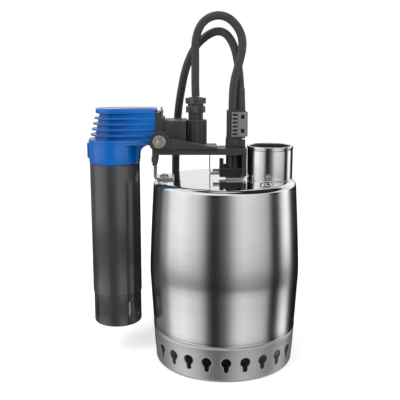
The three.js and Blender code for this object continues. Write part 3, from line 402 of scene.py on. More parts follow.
def bright_metal(name, colour, roughness, streaks=0.0, spread=0.05, pitch=0.0006, dust=0.0, wear=0.0,
                 anisotropy=0.0):
    """Bare metal: streaks in colour, roughness and relief, handling smears, and brighter rubbed edges."""
    made = bpy.data.materials.new(name)
    made.use_nodes = True
    tree = made.node_tree
    shader = tree.nodes["Principled BSDF"]
    shader.inputs["Metallic"].default_value = 1.0
    shader.inputs["Anisotropic"].default_value = anisotropy
    if anisotropy:
        around = add_node(tree, "ShaderNodeTangent", direction_type="RADIAL", axis="Z")
        tree.links.new(around.outputs[0], shader.inputs["Tangent"])
    brushed = add_node(tree, "ShaderNodeGroup", {"Pitch": pitch}, node_tree=streak_group)
    dark = tinted(colour, 1 - 0.10 - 0.25 * streaks)
    tone = blend_colours(tree, brushed.outputs["Tint"], dark, tinted(colour, 1.06))
    edges = add_node(tree, "ShaderNodeGroup", {"Amount": wear, "Width": 0.0004}, node_tree=wear_group)
    tone = blend_colours(tree, edges.outputs["Wear"], tone, tinted(colour, 1.25))
    settled = add_node(tree, "ShaderNodeGroup", {"Amount": dust}, node_tree=dust_group)
    tone = blend_colours(tree, settled.outputs["Dust"], tone, (0.4, 0.39, 0.37, 1.0))
    tree.links.new(tone, shader.inputs["Base Color"])
    rough = sums(tree, "MULTIPLY_ADD", brushed.outputs["Smear"], spread * 2, roughness - spread)
    rough = sums(tree, "MULTIPLY_ADD", brushed.outputs["Tint"], 0.12 * streaks, rough)
    rough = sums(tree, "MULTIPLY_ADD", settled.outputs["Dust"], 0.3, rough, clamp=True)
    tree.links.new(rough, shader.inputs["Roughness"])
    relief = add_node(tree, "ShaderNodeBump", {
        "Height": brushed.outputs["Height"], "Strength": 0.02 + 0.15 * streaks, "Distance": 0.0002})
    tree.links.new(relief.outputs[0], shader.inputs["Normal"])
    return made


fastener_steel = bright_metal("fastener_steel", (0.50, 0.50, 0.51, 1), 0.30, streaks=0.3, wear=0.4)
pin_profile = [(0, 57.5), (2.4, 57.5), (2.4, 75.2), (2.1, 76.3), (1.3, 76.9), (0, 77)]
plated_pins = []
for side in (-9.5, 9.5):
    pin_place = (plug_place[0], plug_place[1] + side, plug_place[2])
    plated_pins.append(turned_piece("plug_pin", pin_profile, fastener_steel, 32, pin_place, "X"))
plug_pins = joined("mains_plug_pins", *plated_pins)
finish_piece(plug_pins, "pump", "fastener_steel")

# ---- Tie round the coil ----
# A flat black nylon band with a moulded buckle. It is pulled tight round one side of the wound turns and holds
# them together.


def bevelled(piece, width, segments=3, angle=30):
    """Rounds the piece's sharp edges and evens its shading."""
    rounding = piece.modifiers.new("rounded edges", "BEVEL")
    rounding.width = width * MM
    rounding.segments = segments
    rounding.limit_method = "ANGLE"
    rounding.angle_limit = math.radians(angle)
    rounding.harden_normals = True
    return piece


def swept_shape(outline, depth, frame_of):
    """Points and faces of a flat outline pushed through a depth; frame_of turns (u, v, w) into a place."""
    count = len(outline)
    vertices = [frame_of(u, v, depth[0]) for u, v in outline] + [frame_of(u, v, depth[1]) for u, v in outline]
    faces = [tuple(range(count - 1, -1, -1)), tuple(range(count, 2 * count))]
    faces += [(k, (k + 1) % count, count + (k + 1) % count, count + k) for k in range(count)]
    return vertices, faces


def swept_piece(name, outline, depth, frame_of, material):
    return mesh_piece(name, *swept_shape(outline, depth, frame_of), material)


tie_angle = math.radians(-60)
tie_across = Vector((math.cos(tie_angle), math.sin(tie_angle), 0))
tie_along = Vector((-tie_across.y, tie_across.x, 0))
tie_middle = Vector((-5, 150, 17.8)) + tie_across * 48


def tie_loop(half, corner):
    return rounded_profile([(-half, -half), (half, -half), (half, half), (-half, half)], corner, 5)


outer_loop, inner_loop = tie_loop(17.5, 6), tie_loop(16.6, 5.4)
vertices, faces = [], []
for loop, at in ((outer_loop, -2.6), (outer_loop, 2.6), (inner_loop, 2.6), (inner_loop, -2.6)):
    vertices += [tie_middle + tie_across * u + Vector((0, 0, v)) + tie_along * at for u, v in loop]
size = len(outer_loop)
for r in range(4):
    for k in range(size):
        n = (k + 1) % size
        faces.append((r * size + k, r * size + n, (r + 1) % 4 * size + n, (r + 1) % 4 * size + k))
tie_band = mesh_piece("coil_tie_band", vertices, faces, black_moulding)
buckle_outline = rounded_profile([(-4.4, 16.2), (4.4, 16.2), (3.6, 19.4), (-3.6, 19.4)], 0.8, 3)
buckle = swept_piece("coil_tie_buckle", buckle_outline, (-3.8, 3.8), lambda u, v, w: (
    tie_middle + tie_across * u + Vector((0, 0, v)) + tie_along * w), black_moulding)
coil_tie = joined("coil_tie_with_buckle", tie_band, buckle)
finish_piece(coil_tie, "pump", "black_plastic", "coil_tie")

# ---- Relief sleeve ----
# A short tapering rubber sleeve, moulded round the mains lead where it comes out of the cable clamp, so that it
# can't kink there. It is the last piece on this lead.
sleeve_profile = [
    (4.05, 249.5), (5.3, 249.5), (5.25, 252), (4.9, 258), (4.6, 266), (4.35, 271.5), (4.1, 272.4),
    (4.05, 271.8)]
relief_sleeve = turned_piece("mains_relief_sleeve", sleeve_profile, black_moulding, 48, (14.7, 4.05, 0))
finish_piece(relief_sleeve, "pump", "black_plastic")

# ---- Floor, sky and soft lights ----
# A wide floor of matt pale paint under a white surround. Light tents and dark flags stand round the pump, where
# only bright metal mirrors them, as bands, and two large soft lights hang over it.
floor_paint = bpy.data.materials.new("studio_floor")
floor_paint.use_nodes = True
floor_tree = floor_paint.node_tree
floor_noise = add_node(floor_tree, "ShaderNodeTexNoise", {"Scale": 6.0, "Detail": 3.0})
floor_tone = blend_colours(floor_tree, floor_noise.outputs[0], (0.86, 0.86, 0.86, 1), (0.90, 0.90, 0.90, 1))
floor_shader = floor_tree.nodes["Principled BSDF"]
floor_tree.links.new(floor_tone, floor_shader.inputs["Base Color"])
floor_shader.inputs["Roughness"].default_value = 0.9
floor_shader.inputs["Specular IOR Level"].default_value = 0.1
floor_shader.inputs["Emission Color"].default_value = (1, 1, 1, 1)
floor_shader.inputs["Emission Strength"].default_value = 0.32
floor_reach, floor_sides = 30000, 72
floor_angles = [k * 2 * math.pi / floor_sides for k in range(floor_sides)]
rim = [(floor_reach * math.cos(angle), floor_reach * math.sin(angle), -0.5) for angle in floor_angles]
floor = mesh_piece("studio_floor", rim, [tuple(range(floor_sides))], floor_paint)
floor.visible_glossy = False

sky = bpy.data.worlds.new("studio_sky")
scene.world = sky
sky.use_nodes = True
sky_tree = sky.node_tree
sky_tree.nodes.clear()
sight = sky_tree.nodes.new("ShaderNodeLightPath")
facing = sky_tree.nodes.new("ShaderNodeTexCoord").outputs["Generated"]
parts = add_node(sky_tree, "ShaderNodeSeparateXYZ", {0: facing}).outputs
# 0 is straight behind the camera's side, positive towards the discharge port
round_the_pump = sums(sky_tree, "ARCTAN2", parts[0], sums(sky_tree, "MULTIPLY", parts[1], -1.0))
along_ramp = sums(sky_tree, "MULTIPLY_ADD", round_the_pump, 0.5 / math.pi, 0.5)


def level_ramp(tree, source, levels):
    """A grey level for each place from 0 to 1, from (place, level) pairs."""
    ramp = tree.nodes.new("ShaderNodeValToRGB")
    ramp.color_ramp.interpolation = "EASE"
    for place, level in levels[1:-1]:
        ramp.color_ramp.elements.new(place).color = (level, level, level, 1)
    for index, (place, level) in ((0, levels[0]), (-1, levels[-1])):
        ramp.color_ramp.elements[index].color = (level, level, level, 1)
    tree.links.new(source, ramp.inputs[0])
    return ramp.outputs[0]


bands = [
    (-180, 0.02), (-158, 0.01), (-140, 0.24), (-118, 0.22), (-104, 0.42), (-92, 1.1), (-70, 1.18),
    (-52, 0.92), (-43, 0.78), (-35, 0.54), (-27, 0.10), (-20, 0.006), (-13, 0.02), (-5, 0.10), (3, 0.20),
    (11, 0.55), (20, 0.88), (30, 0.94), (40, 0.86), (50, 0.76), (60, 0.68), (69, 0.5), (76, 0.006),
    (89, 0.002), (98, 0.8), (104, 1.35), (114, 1.3), (123, 0.12), (130, 0.01), (180, 0.02),
]
tents = level_ramp(sky_tree, along_ramp, [((degrees + 180) / 360, level) for degrees, level in bands])
# a dark line below the horizon, and a brighter ground under it
below = sums(sky_tree, "MULTIPLY_ADD", parts[2], 0.5, 0.5)
skirting = level_ramp(sky_tree, below, [
    (0, 1.0), (0.29, 1.0), (0.325, 0.28), (0.375, 0.28), (0.40, 1.0), (1, 1.0)])
tents = add_node(
    sky_tree, "ShaderNodeMix", {0: 1.0, 6: tents, 7: skirting}, data_type="RGBA", blend_type="MULTIPLY")
to_the_right = sums(sky_tree, "MAXIMUM", parts[0], 0.0)
flag_height = sums(sky_tree, "MULTIPLY_ADD", to_the_right, 0.5, parts[2], clamp=True)
overhead = level_ramp(sky_tree, flag_height, [
    (0, 0.9), (0.2, 0.95), (0.5, 1.15), (0.84, 0.95), (0.925, 0.06), (0.97, 0.01), (1, 0.02)])
# a small bright opening straight overhead, inside the dark flag
opening = level_ramp(sky_tree, parts[2], [(0, 0.0), (0.962, 0.0), (0.985, 0.62), (1, 0.7)])
overhead = add_node(
    sky_tree, "ShaderNodeMix", {0: 1.0, 6: overhead, 7: opening}, data_type="RGBA", blend_type="ADD")
# the tents reach higher on the camera's side than behind the pump
height_here = sums(sky_tree, "MULTIPLY_ADD", parts[1], 0.25, parts[2])
share_up = level_ramp(sky_tree, height_here, [(0, 0.0), (0.16, 0.0), (0.32, 1.0), (1, 1.0)])
mirrored = blend_colours(sky_tree, share_up, tents.outputs[2], overhead.outputs[2])
in_mirrors = add_node(sky_tree, "ShaderNodeBackground", {"Color": mirrored, "Strength": 1.0})
on_surfaces = add_node(sky_tree, "ShaderNodeBackground", {"Color": (1, 1, 1, 1), "Strength": 0.78})
seen = add_node(sky_tree, "ShaderNodeBackground", {"Color": (1, 1, 1, 1), "Strength": 1.0})
plain_or_mirror = add_node(sky_tree, "ShaderNodeMixShader", {
    0: sight.outputs["Is Glossy Ray"], 1: on_surfaces.outputs[0], 2: in_mirrors.outputs[0]})
whole = add_node(sky_tree, "ShaderNodeMixShader", {
    0: sight.outputs["Is Camera Ray"], 1: plain_or_mirror.outputs[0], 2: seen.outputs[0]})
sky_out = sky_tree.nodes.new("ShaderNodeOutputWorld")
sky_tree.links.new(whole.outputs[0], sky_out.inputs[0])


def soft_light(name, at, towards, width, height, power):
    """A rectangular soft light that looks at a point."""
    light = bpy.data.lights.new(name, "AREA")
    light.shape = "RECTANGLE"
    light.size, light.size_y = width, height
    light.energy = power
    lamp = bpy.data.objects.new(name, light)
    scene.collection.objects.link(lamp)
    lamp.location = at
    lamp.rotation_euler = (Vector(towards) - Vector(at)).to_track_quat("-Z", "Y").to_euler()
    return lamp


key_light = soft_light("key_light", (-0.9, -1.0, 1.3), (0, 0, 0.15), 0.7, 0.9, 16)
key_light.visible_glossy = False
fill_light = soft_light("fill_light", (0.9, -0.6, 0.7), (0, 0, 0.15), 0.5, 0.8, 5)
fill_light.visible_glossy = False
scene.view_settings.view_transform = "Standard"
scene.view_settings.look = "None"

# ---- Casing ----
# One deep-drawn stainless shell, open below, with a slight belly and a rolled foot. It is brushed round its
# sides and left mirror-bright on the flat deck, which has punched holes for the port, the plug and two screws.


def cut(piece, *cutters):
    """Cuts closed shapes out of a piece and takes the cutters away."""
    for cutter in cutters:
        hole = piece.modifiers.new("opening", "BOOLEAN")
        hole.operation, hole.solver, hole.object = "DIFFERENCE", "EXACT", cutter
        bake_modifiers(piece)
        bpy.data.objects.remove(cutter)
    return piece


def bake_modifiers(piece):
    """Puts the modifiers' result into the piece's own mesh."""
    bpy.context.view_layer.update()
    result = bpy.data.meshes.new_from_object(piece.evaluated_get(bpy.context.evaluated_depsgraph_get()))
    piece.modifiers.clear()
    piece.data = result
    return piece


def sharpen(piece, angle=35):
    piece.data.polygons.foreach_set("use_smooth", [True] * len(piece.data.polygons))
    piece.data.set_sharp_from_angle(angle=math.radians(angle))
    return piece


def tool_bar(radius, low, high, x=0, y=0, sides=48):
    """A plain round cutter."""
    shape = turned_shape([(0, low), (radius, low), (radius, high), (0, high)], sides, (x, y, 0))
    return mesh_piece("cutter", *shape, black_moulding)


casing_steel = bright_metal(
    "casing_steel", (0.78, 0.785, 0.79, 1), 0.17, streaks=0.4, spread=0.02, pitch=0.0007, anisotropy=0.25)
casing_tree = casing_steel.node_tree
casing_shader = casing_tree.nodes["Principled BSDF"]
brushed_roughness = casing_shader.inputs["Roughness"].links[0].from_socket
casing_place = add_node(casing_tree, "ShaderNodeSeparateXYZ", {
    0: casing_tree.nodes.new("ShaderNodeTexCoord").outputs["Object"]}).outputs[2]
calmer = add_node(casing_tree, "ShaderNodeMix", {
    0: rise(casing_tree, casing_place, 0.1775, 0.1815), 2: brushed_roughness,
    3: sums(casing_tree, "MULTIPLY", brushed_roughness, 0.35)}, data_type="FLOAT")
casing_tree.links.new(calmer.outputs[0], casing_shader.inputs["Roughness"])

belly, belly_height, foot, shoulder, deck = 74.5, 93, 71.4, 70.3, 184
sheet, bend_radius, foot_top = 1.5, 6, 38.6
bend_low = deck - bend_radius


def quarter(radius, steps):
    """A quarter round at the shoulder, from its outer end up to the deck."""
    angles = [math.radians(90 * k / steps) for k in range(steps + 1)]
    middle = shoulder - bend_radius
    return [(middle + radius * math.cos(a), bend_low + radius * math.sin(a)) for a in angles]


side = [(foot - 0.4, 35.8), (foot + 0.05, 36.1), (foot + 0.2, 36.6), (foot + 0.14, 37.6)]
side.append((foot + 0.12, foot_top))
for k in range(1, 9):
    side.append((foot + (belly - foot - 0.12) * k / 8, foot_top + (belly_height - 4 - foot_top) * k / 8))
side.append((belly - 0.03, belly_height))
for k in range(1, 13):
    part = k / 12
    leaning_in = (belly - shoulder) * part ** 1.2
    side.append((belly - leaning_in, belly_height + 3 + (bend_low - belly_height - 3) * part))
inside = [(0, deck - sheet)] + quarter(bend_radius - sheet, 6)[::-1]
inside += [(shoulder - sheet, bend_low), (belly - sheet, belly_height), (foot - sheet, 35.8)]
outside = side + quarter(bend_radius, 12)[1:] + [(0, deck)]
casing = turned_piece("casing_shell", inside + outside, casing_steel, 192, smooth=50)
cut(casing, tool_bar(22.55, 165, 190, 44.3), tool_bar(7.1, 165, 190, 8.65, 1), tool_bar(2.6, 165, 190, -59.4),
    tool_bar(2.3, 165, 190, 36.9, -40))
sharpen(casing, 40)
finish_piece(casing, "pump", "casing_steel", "pump_casing")

# ---- Suction strainer ----
# A satin stainless tray, pressed from sheet and clipped on under the casing by its upright collar. Twenty-four
# keyhole slots are punched through its wall, each with a rolled edge.
strainer_steel = bright_metal(
    "strainer_steel", (0.62, 0.625, 0.63, 1), 0.40, streaks=0.25, pitch=0.0005, wear=0.4, dust=0.1)
floor_radius, wall_lean, wall_low, wall_height = foot - 2.3, 2.2, 3, 29.3
corner_angles = [math.radians(90 * k / 6) for k in range(7)]
tray = [(0, 0)]
tray += [(floor_radius - wall_low * (1 - math.sin(a)), wall_low * (1 - math.cos(a))) for a in corner_angles]
tray += [(floor_radius + wall_lean * k / 6, wall_low + wall_height * k / 6) for k in range(1, 7)]
tray += [(foot - 0.15, 32.8), (foot - 0.9, 34.7), (foot - 1.2, 35)]
tray += [(69.5, 35), (69.6, 35.6), (69.6, 41.7), (68.3, 41.7), (68.3, 33)]
tray += [(foot - sheet, 31), (floor_radius - sheet, 3.4), (floor_radius - 3, sheet), (0, sheet)]
strainer = turned_piece("strainer_tray", tray, strainer_steel, 192, smooth=30)


def keyhole_outline():
    """A round hole with a narrower round-ended slot below it."""
    round_radius, slot_half, top, bottom = 5.0, 2.5, 25, 10
    middle = top - round_radius
    gap = math.asin(slot_half / round_radius)
    points = []
    for k in range(25):
        angle = -math.pi / 2 + gap + (2 * math.pi - 2 * gap) * k / 24
        points.append((round_radius * math.cos(angle), middle + round_radius * math.sin(angle)))
    for k in range(9):
        angle = math.pi + math.pi * k / 8
        points.append((slot_half * math.cos(angle), bottom + slot_half + slot_half * math.sin(angle)))
    return points


def punched_rim(angle):
    """The raised rim round one keyhole, swept round its outline on the leaning wall."""
    outline = keyhole_outline()
    cosine, sine = math.cos(angle), math.sin(angle)
    count = len(outline)
    vertices, faces = [], []
    section = [(0.75, -0.25), (0.55, 0.16), (0.2, 0.28), (-0.12, 0.12), (-0.1, -1.6), (0.5, -1.6)]
    for k, (u, v) in enumerate(outline):
        before, after = Vector(outline[k - 1]), Vector(outline[(k + 1) % count])
        along = (after - before).normalized()
        outward = Vector((along.y, -along.x))
        for away, proud in section:
            a, h = u + outward.x * away, v + outward.y * away
            radius = floor_radius + wall_lean * (h - wall_low) / 31 + proud
            depth = math.sqrt(max(radius * radius - a * a, 0))
            vertices.append((a * cosine + depth * sine, a * sine - depth * cosine, h))
    width = len(section)
    for k in range(count):
        n = (k + 1) % count
        for s in range(width):
            t = (s + 1) % width
            faces.append((k * width + s, k * width + t, n * width + t, n * width + s))
    return vertices, faces


def many(name, material, shapes, smooth=35):
    """One mesh from several separate bodies."""
    vertices, faces = [], []
    for more_vertices, more_faces in shapes:
        start = len(vertices)
        vertices += more_vertices
        faces += [tuple(start + i for i in face) for face in more_faces]
    return mesh_piece(name, vertices, faces, material, smooth)


keyhole_angles = [k * 2 * math.pi / 24 for k in range(24)]
punches = []
for angle in keyhole_angles:
    turn = Matrix.Rotation(angle, 3, "Z")
    punches.append(swept_shape(keyhole_outline(), (-80, -60), lambda u, v, w: turn @ Vector((u, w, v))))
cut(strainer, many("cutter", black_moulding, punches))
sharpen(strainer, 30)
rims = many("keyhole_rims", strainer_steel, [punched_rim(angle) for angle in keyhole_angles], 60)
strainer = joined("strainer_with_rims", strainer, rims)
finish_piece(strainer, "pump", "casing_steel", "suction_strainer")

# ---- Discharge port ----
# A polished stainless tube with a thick rolled lip, welded into the deck with a fine bead. The black sleeve of
# the flap valve lines its bore nearly to the mouth, and the bore's own steel faces are painted black as painted
# shade of the deep bore.
port_steel = bright_metal("port_steel", (0.82, 0.825, 0.83, 1), 0.16, streaks=0.15, spread=0.03, wear=0.2)
port_place, bore_radius = (44.3, 0, 0), 20.3
port_wall = rounded_profile([
    (bore_radius, 178, 0.3), (22.25, 178, 0.3), (22.25, 213.5, 3), (22.8, 215.8, 1.2), (22.6, 217, 1.0),
    (bore_radius, 217, 1.2)], 0.5, 6)
discharge_port = turned_piece("discharge_pipe", port_wall, port_steel, 128, port_place, smooth=50)
discharge_port.data.materials.append(black_moulding)
# the steel bore's faces get the black moulding: painted shade of the deep bore, above the sleeve at the mouth
for face in discharge_port.data.polygons:
    if math.hypot(face.center.x - port_place[0] * MM, face.center.y) < (bore_radius + 0.03) * MM:
        face.material_index = 1
bead_angles = [2 * math.pi * k / 10 for k in range(10)]
bead = [(22.2 + 0.9 * math.cos(a), deck + 0.1 + 0.7 * math.sin(a)) for a in bead_angles]
weld_bead = turned_piece("weld_bead", bead, port_steel, 128, port_place, smooth=80)
discharge_port = joined("discharge_pipe_welded", discharge_port, weld_bead)
finish_piece(discharge_port, "pump", "polished_steel", "discharge_port")

# ---- Vent screw and handle screw ----
# Low domed stainless screws, turned and polished, each with a six-sided key recess. One closes the vent in the
# deck and the other holds the foot of the handle's strap.
mirror_steel = bright_metal("mirror_steel", (0.84, 0.845, 0.85, 1), 0.10, streaks=0.12, spread=0.03, wear=0.2)


def recessed_screw(name, radius, head_low, head_height, shank_radius, key_radius, x, y):
    """A domed screw whose shank ends at 178 mm, with a key recess 1.3 mm deep."""
    low, top = 178, head_low + head_height
    profile = [(0, low), (shank_radius, low, 0.3), (shank_radius, head_low), (radius, head_low, 0.2),
               (radius, head_low + head_height * 0.35, 0.6), (radius * 0.72, top, 0.8), (0, top)]
    screw = turned_piece(name, rounded_profile(profile, 0.2, 3, closed=False), mirror_steel, 48, (x, y, 0))
    cut(screw, tool_bar(key_radius, top - 1.3, top + 1, x, y, 6))
    return sharpen(screw, 35)


vent_screw = recessed_screw("vent_screw_domed", 5.5, 184.3, 2.3, 2, 1.9, 36.9, -40)
finish_piece(vent_screw, "pump", "polished_steel", "vent_screw")
handle_screw = recessed_screw("handle_screw_domed", 5.0, 186.6, 2.0, 2.3, 2.1, -59.4, 0)
finish_piece(handle_screw, "pump", "polished_steel", "handle_screw")

# ---- Flap valve ----
# A moulded black seat with a long sleeve is pushed into the port, and a rubber flap hangs on a steel pin across
# it. The water that is pumped up swings the flap open.
seal_rubber = polymer(
    "seal_rubber", (0.022, 0.022, 0.023, 1), (0.05, 0.05, 0.05, 1), 0.6, grain=0.0004, bump=0.12)


def dress(finish, **edges):
    """Gives plain solids their finish, and rounds their edges where a width is given."""
    for name, width in edges.items():
        part = nodes[name]
        part.data.materials.clear()
        part.data.materials.append(finish)
        sharpen(part, 32)
        flatter = part.modifiers.new("whole faces", "DECIMATE")
        flatter.decimate_type = "DISSOLVE"
        flatter.angle_limit = math.radians(1)
        if width:
            bevelled(part, width, 3, 40)


dress(black_moulding, flap_seat=0.3)
dress(seal_rubber, check_flap=0.3)
dress(fastener_steel, flap_pin=0)

# ---- Pump stage ----
# The bowl, the impeller and the bracket for the lower bearing are pressed from thin stainless sheet. A moulded
# ring wears in at the bowl's mouth, and a nut holds the impeller on the shaft.
pressed_steel = bright_metal(
    "pressed_steel", (0.46, 0.465, 0.47, 1), 0.36, streaks=0.35, spread=0.06, wear=0.3)
dress(pressed_steel, pump_bowl=0, impeller=0, bearing_bracket=0)
dress(black_moulding, neck_ring=0)
dress(fastener_steel, impeller_nut=0)

# ---- Motor ----
# A pressed steel can and cover round a stack of laminations with enamelled copper windings, and a rotor on a
# steel shaft between two ball bearings. A capacitor goes with them, and rubber seals close shaft and casing.
laminations = bright_metal("laminations", (0.22, 0.225, 0.235, 1), 0.5, streaks=0.9, pitch=0.0005)
enamelled_copper = bright_metal("enamelled_copper", (0.55, 0.22, 0.09, 1), 0.34, streaks=1.0, pitch=0.0009)
white_moulding = polymer(
    "white_moulding", (0.72, 0.71, 0.67, 1), (0.8, 0.8, 0.78, 1), 0.42, grain=0.0006, dust=0.1, spread=0.08)
dress(pressed_steel, motor_can=0, motor_cover=0)
dress(laminations, stator_core=0, rotor_core=0)
dress(enamelled_copper, lower_winding=0, upper_winding=0)
dress(fastener_steel, motor_shaft=0, lower_bearing=0, upper_bearing=0)
dress(white_moulding, run_capacitor=0)
dress(seal_rubber, casing_seal=0, shaft_seal=0)

# ---- Handle ----
# A strap bent from satin stainless sheet under a moulded black grip. The handle screw and its nut hold one end
# of the strap to the deck.
satin_steel = bright_metal("satin_steel", (0.80, 0.805, 0.81, 1), 0.30, streaks=0.2, spread=0.04, wear=0.3)
dress(satin_steel, handle_strap=0.4)
dress(black_moulding, handle_grip=0.9)
dress(fastener_steel, handle_nut=0)

# ---- Cable plug and cable clamp ----
# The plug's socket and body are moulded in black nylon and held together by a screw. A black clamp with a grey
# ladder strap and latch grips both leads above it, and a strip of satin sheet metal stands beside it.
plug_nylon = polymer(
    "plug_nylon", (0.012, 0.0122, 0.013, 1), (0.07, 0.07, 0.072, 1), 0.36, bump=0.08, wear=0.5)
grey_moulding = polymer(
    "grey_moulding", (0.125, 0.126, 0.130, 1), (0.22, 0.22, 0.225, 1), 0.42, bump=0.07, wear=0.5)
dress(plug_nylon, plug_socket=0, plug_body=0.8)
dress(fastener_steel, plug_screw=0)
dress(black_moulding, cable_clamp=0.8)
dress(grey_moulding, clamp_ladder=0.35, clamp_latch=0.35)
dress(satin_steel, plug_retainer=0.25)

# ---- Terminal box and switch bracket ----
# The box, its cover, the bracket on the grip and the flange that clamps the head are moulded in black. The box
# holds a white terminal strip and the gland's rubber seal, the head holds the reed board, and a clip is bent
# from satin stainless sheet.
dress(black_moulding, terminal_box=0.7, terminal_cover=0.6, switch_bracket=0.7, clamp_flange=0.7)
dress(white_moulding, terminal_strip=0, reed_board=0)
dress(seal_rubber, gland_seal=0)
dress(satin_steel, head_clip=0.4)

# ---- Float ----
# A hollow white float under a steel rod. The rod carries a ferrite magnet up into the head, where it sits on a
# white stop ring.
ferrite = polymer(
    "ferrite", (0.045, 0.045, 0.047, 1), (0.12, 0.12, 0.12, 1), 0.55, grain=0.0003, bump=0.2, dust=0.05)
dress(white_moulding, float=0, magnet_stop=0)
dress(fastener_steel, float_rod=0)
dress(ferrite, float_magnet=0)

# ---- Float tube ----
# A dark grey tube, cut from an extrusion and pushed over the head's spigot. A glossier moulded end piece with
# four water slots is pushed in from below and keeps the float in.
tube_plastic = polymer(
    "tube_plastic", (0.030, 0.031, 0.033, 1), (0.09, 0.09, 0.095, 1), 0.15, grain=0.0008, bump=0.03, wear=0.4,
    dust=0.1, specular=0.85, spread=0.03)
switch_place = (-109.5, 11, 0)
tube_wall = rounded_profile([(22.6, 66.5), (24.8, 66.5), (24.8, 198.5), (22.6, 198.5)], 0.5, 3)
float_tube = turned_piece("float_tube_drawn", tube_wall, tube_plastic, 96, switch_place)
finish_piece(float_tube, "pump", "grey_plastic", "float_tube")
end_plastic = polymer(
    "end_plastic", (0.030, 0.031, 0.033, 1), (0.10, 0.10, 0.105, 1), 0.12, bump=0.03, wear=0.4, dust=0.1,
    specular=0.8, spread=0.03)
end_wall = rounded_profile([
    (17.1, 33.2), (22.6, 33.2, 1.6), (24.1, 34.9, 1.2), (24.1, 66.2), (22.3, 66.2), (22.3, 76.2),
    (21.1, 76.2), (21.1, 36.2), (17.1, 36.2)], 0.4, 4)
tube_end = turned_piece("tube_end_moulded", end_wall, end_plastic, 96, switch_place)
slot_outline = rounded_profile([(-2, 41.2), (2, 41.2), (2, 59.2), (-2, 59.2)], 1.6, 4)


def out_and_across(angle):
    """The directions out from an upright axis and across that, at an angle round it."""
    return Vector((math.cos(angle), math.sin(angle), 0)), Vector((-math.sin(angle), math.cos(angle), 0))


slots = []
for k in range(4):
    out, across = out_and_across(k * math.pi / 2 - 0.9)
    slots.append(swept_shape(slot_outline, (17, 28), lambda u, v, w: (
        Vector(switch_place) + across * u + out * w + Vector((0, 0, v)))))
cut(tube_end, many("cutter", black_moulding, slots))
sharpen(tube_end, 30)
finish_piece(tube_end, "pump", "grey_plastic", "tube_end")

# ---- Switch head ----
# The blue head is one moulding: a cap and four cooling fins over a smaller core, a foot slab, a collar for the
# tube, and a locking tab. The float's magnet rises in a bore in it, and the reed board lies in a pocket beside.
blue_moulding = polymer(
    "blue_moulding", (0.0004, 0.083, 0.320, 1), (0.01, 0.20, 0.60, 1), 0.15, grain=0.0007, bump=0.03, wear=0.25,
    dust=0.02, spread=0.03)
head_low, head_high, head_right, half_width = 217.6, 252.6, 42.0, 16.7
slab, fin_thickness = 5, 1.7


def plan_outline(end_radius, half):
    """The head's plan: a round end about the tube's axis that runs tangentially into its two flanks."""
    lean = math.asin((end_radius - half) / head_right)
    points = [(head_right, -half), (head_right, half)]
    for k in range(41):
        angle = math.pi / 2 - lean + (math.pi + 2 * lean) * k / 40
        points.append((end_radius * math.cos(angle), end_radius * math.sin(angle)))
    return points


def on_the_switch(u, v, w):
    return switch_place[0] + u, switch_place[1] + v, w


def head_slab(name, low, high, edge):
    end_radius = 25.3 - 8.9 * (low - head_low) / (head_high - head_low)
    outline = plan_outline(end_radius, half_width)
    return bevelled(swept_piece(name, outline, (low, high), on_the_switch, blue_moulding), edge, 3, 40)


fin_pitch = (head_high - head_low - 2 * slab - 4 * 2) / 5 + 2
head_parts = [head_slab("foot_slab", head_low, head_low + slab, 0.6)]
for k in range(1, 5):
    fin_low = head_low + slab + k * fin_pitch - 2
    head_parts.append(head_slab("fin", fin_low, fin_low + fin_thickness, 0.3))
head_parts.append(head_slab("cap", head_high - slab, head_high, 1.0))
low_plan, high_plan = plan_outline(20.0, half_width - 0.5), plan_outline(13.2, half_width - 0.7)
core_points = [on_the_switch(u, v, head_low + 2) for u, v in low_plan]
core_points += [on_the_switch(u, v, head_high - 2) for u, v in high_plan]
count = len(low_plan)
core_faces = [tuple(range(count - 1, -1, -1)), tuple(range(count, 2 * count))]
core_faces += [(k, (k + 1) % count, count + (k + 1) % count, count + k) for k in range(count)]
head_parts.append(mesh_piece("finned_core", core_points, core_faces, blue_moulding))
collar = rounded_profile([
    (0, 190.9), (22.3, 190.9), (22.3, 198.8), (25.2, 198.8, 0.8), (25.2, 218.4), (0, 218.4)],
    0.3, 4, closed=False)
head_parts.append(turned_piece("tube_collar", collar, blue_moulding, 96, switch_place))
web_angles = [math.radians(90 * k / 12) for k in range(13)]
web = [(21.8, 218.4), (21.8, 200.9), (24.8, 200.9)]
web += [(37.8 - 13 * math.cos(a), 204.6 + 13 * math.sin(a)) for a in web_angles]
web += [(41.6, 217.9), (41.6, 218.4)]
head_parts.append(bevelled(swept_piece(
    "collar_web", web, (-12, 12), lambda u, v, w: on_the_switch(u, w, v), blue_moulding), 1.2, 3, 50))
tab = rounded_profile([(-26.7, -5), (-22, -5), (-22, 5), (-26.7, 5)], 1.0, 3)
head_parts.append(bevelled(swept_piece(
    "locking_tab", tab, (203.4, 218.4), on_the_switch, blue_moulding), 0.5, 2, 50))
pocket_outline = [(12.5, -7), (41.5, -7), (41.5, 7), (12.5, 7)]
for part in head_parts:
    bake_modifiers(part)
for part in head_parts[:-2]:
    if part.name.startswith(("foot_slab", "fin", "tube_collar")):
        cut(part, tool_bar(9, 189.8, 243.5, switch_place[0], switch_place[1]))
    if part.name.startswith("fin"):
        cut(part, swept_piece("cutter", pocket_outline, (225.6, 241.6), on_the_switch, blue_moulding))
    sharpen(part, 35)
switch_head = joined("switch_head_finned", *head_parts)
finish_piece(switch_head, "pump", "blue_plastic", "switch_head")

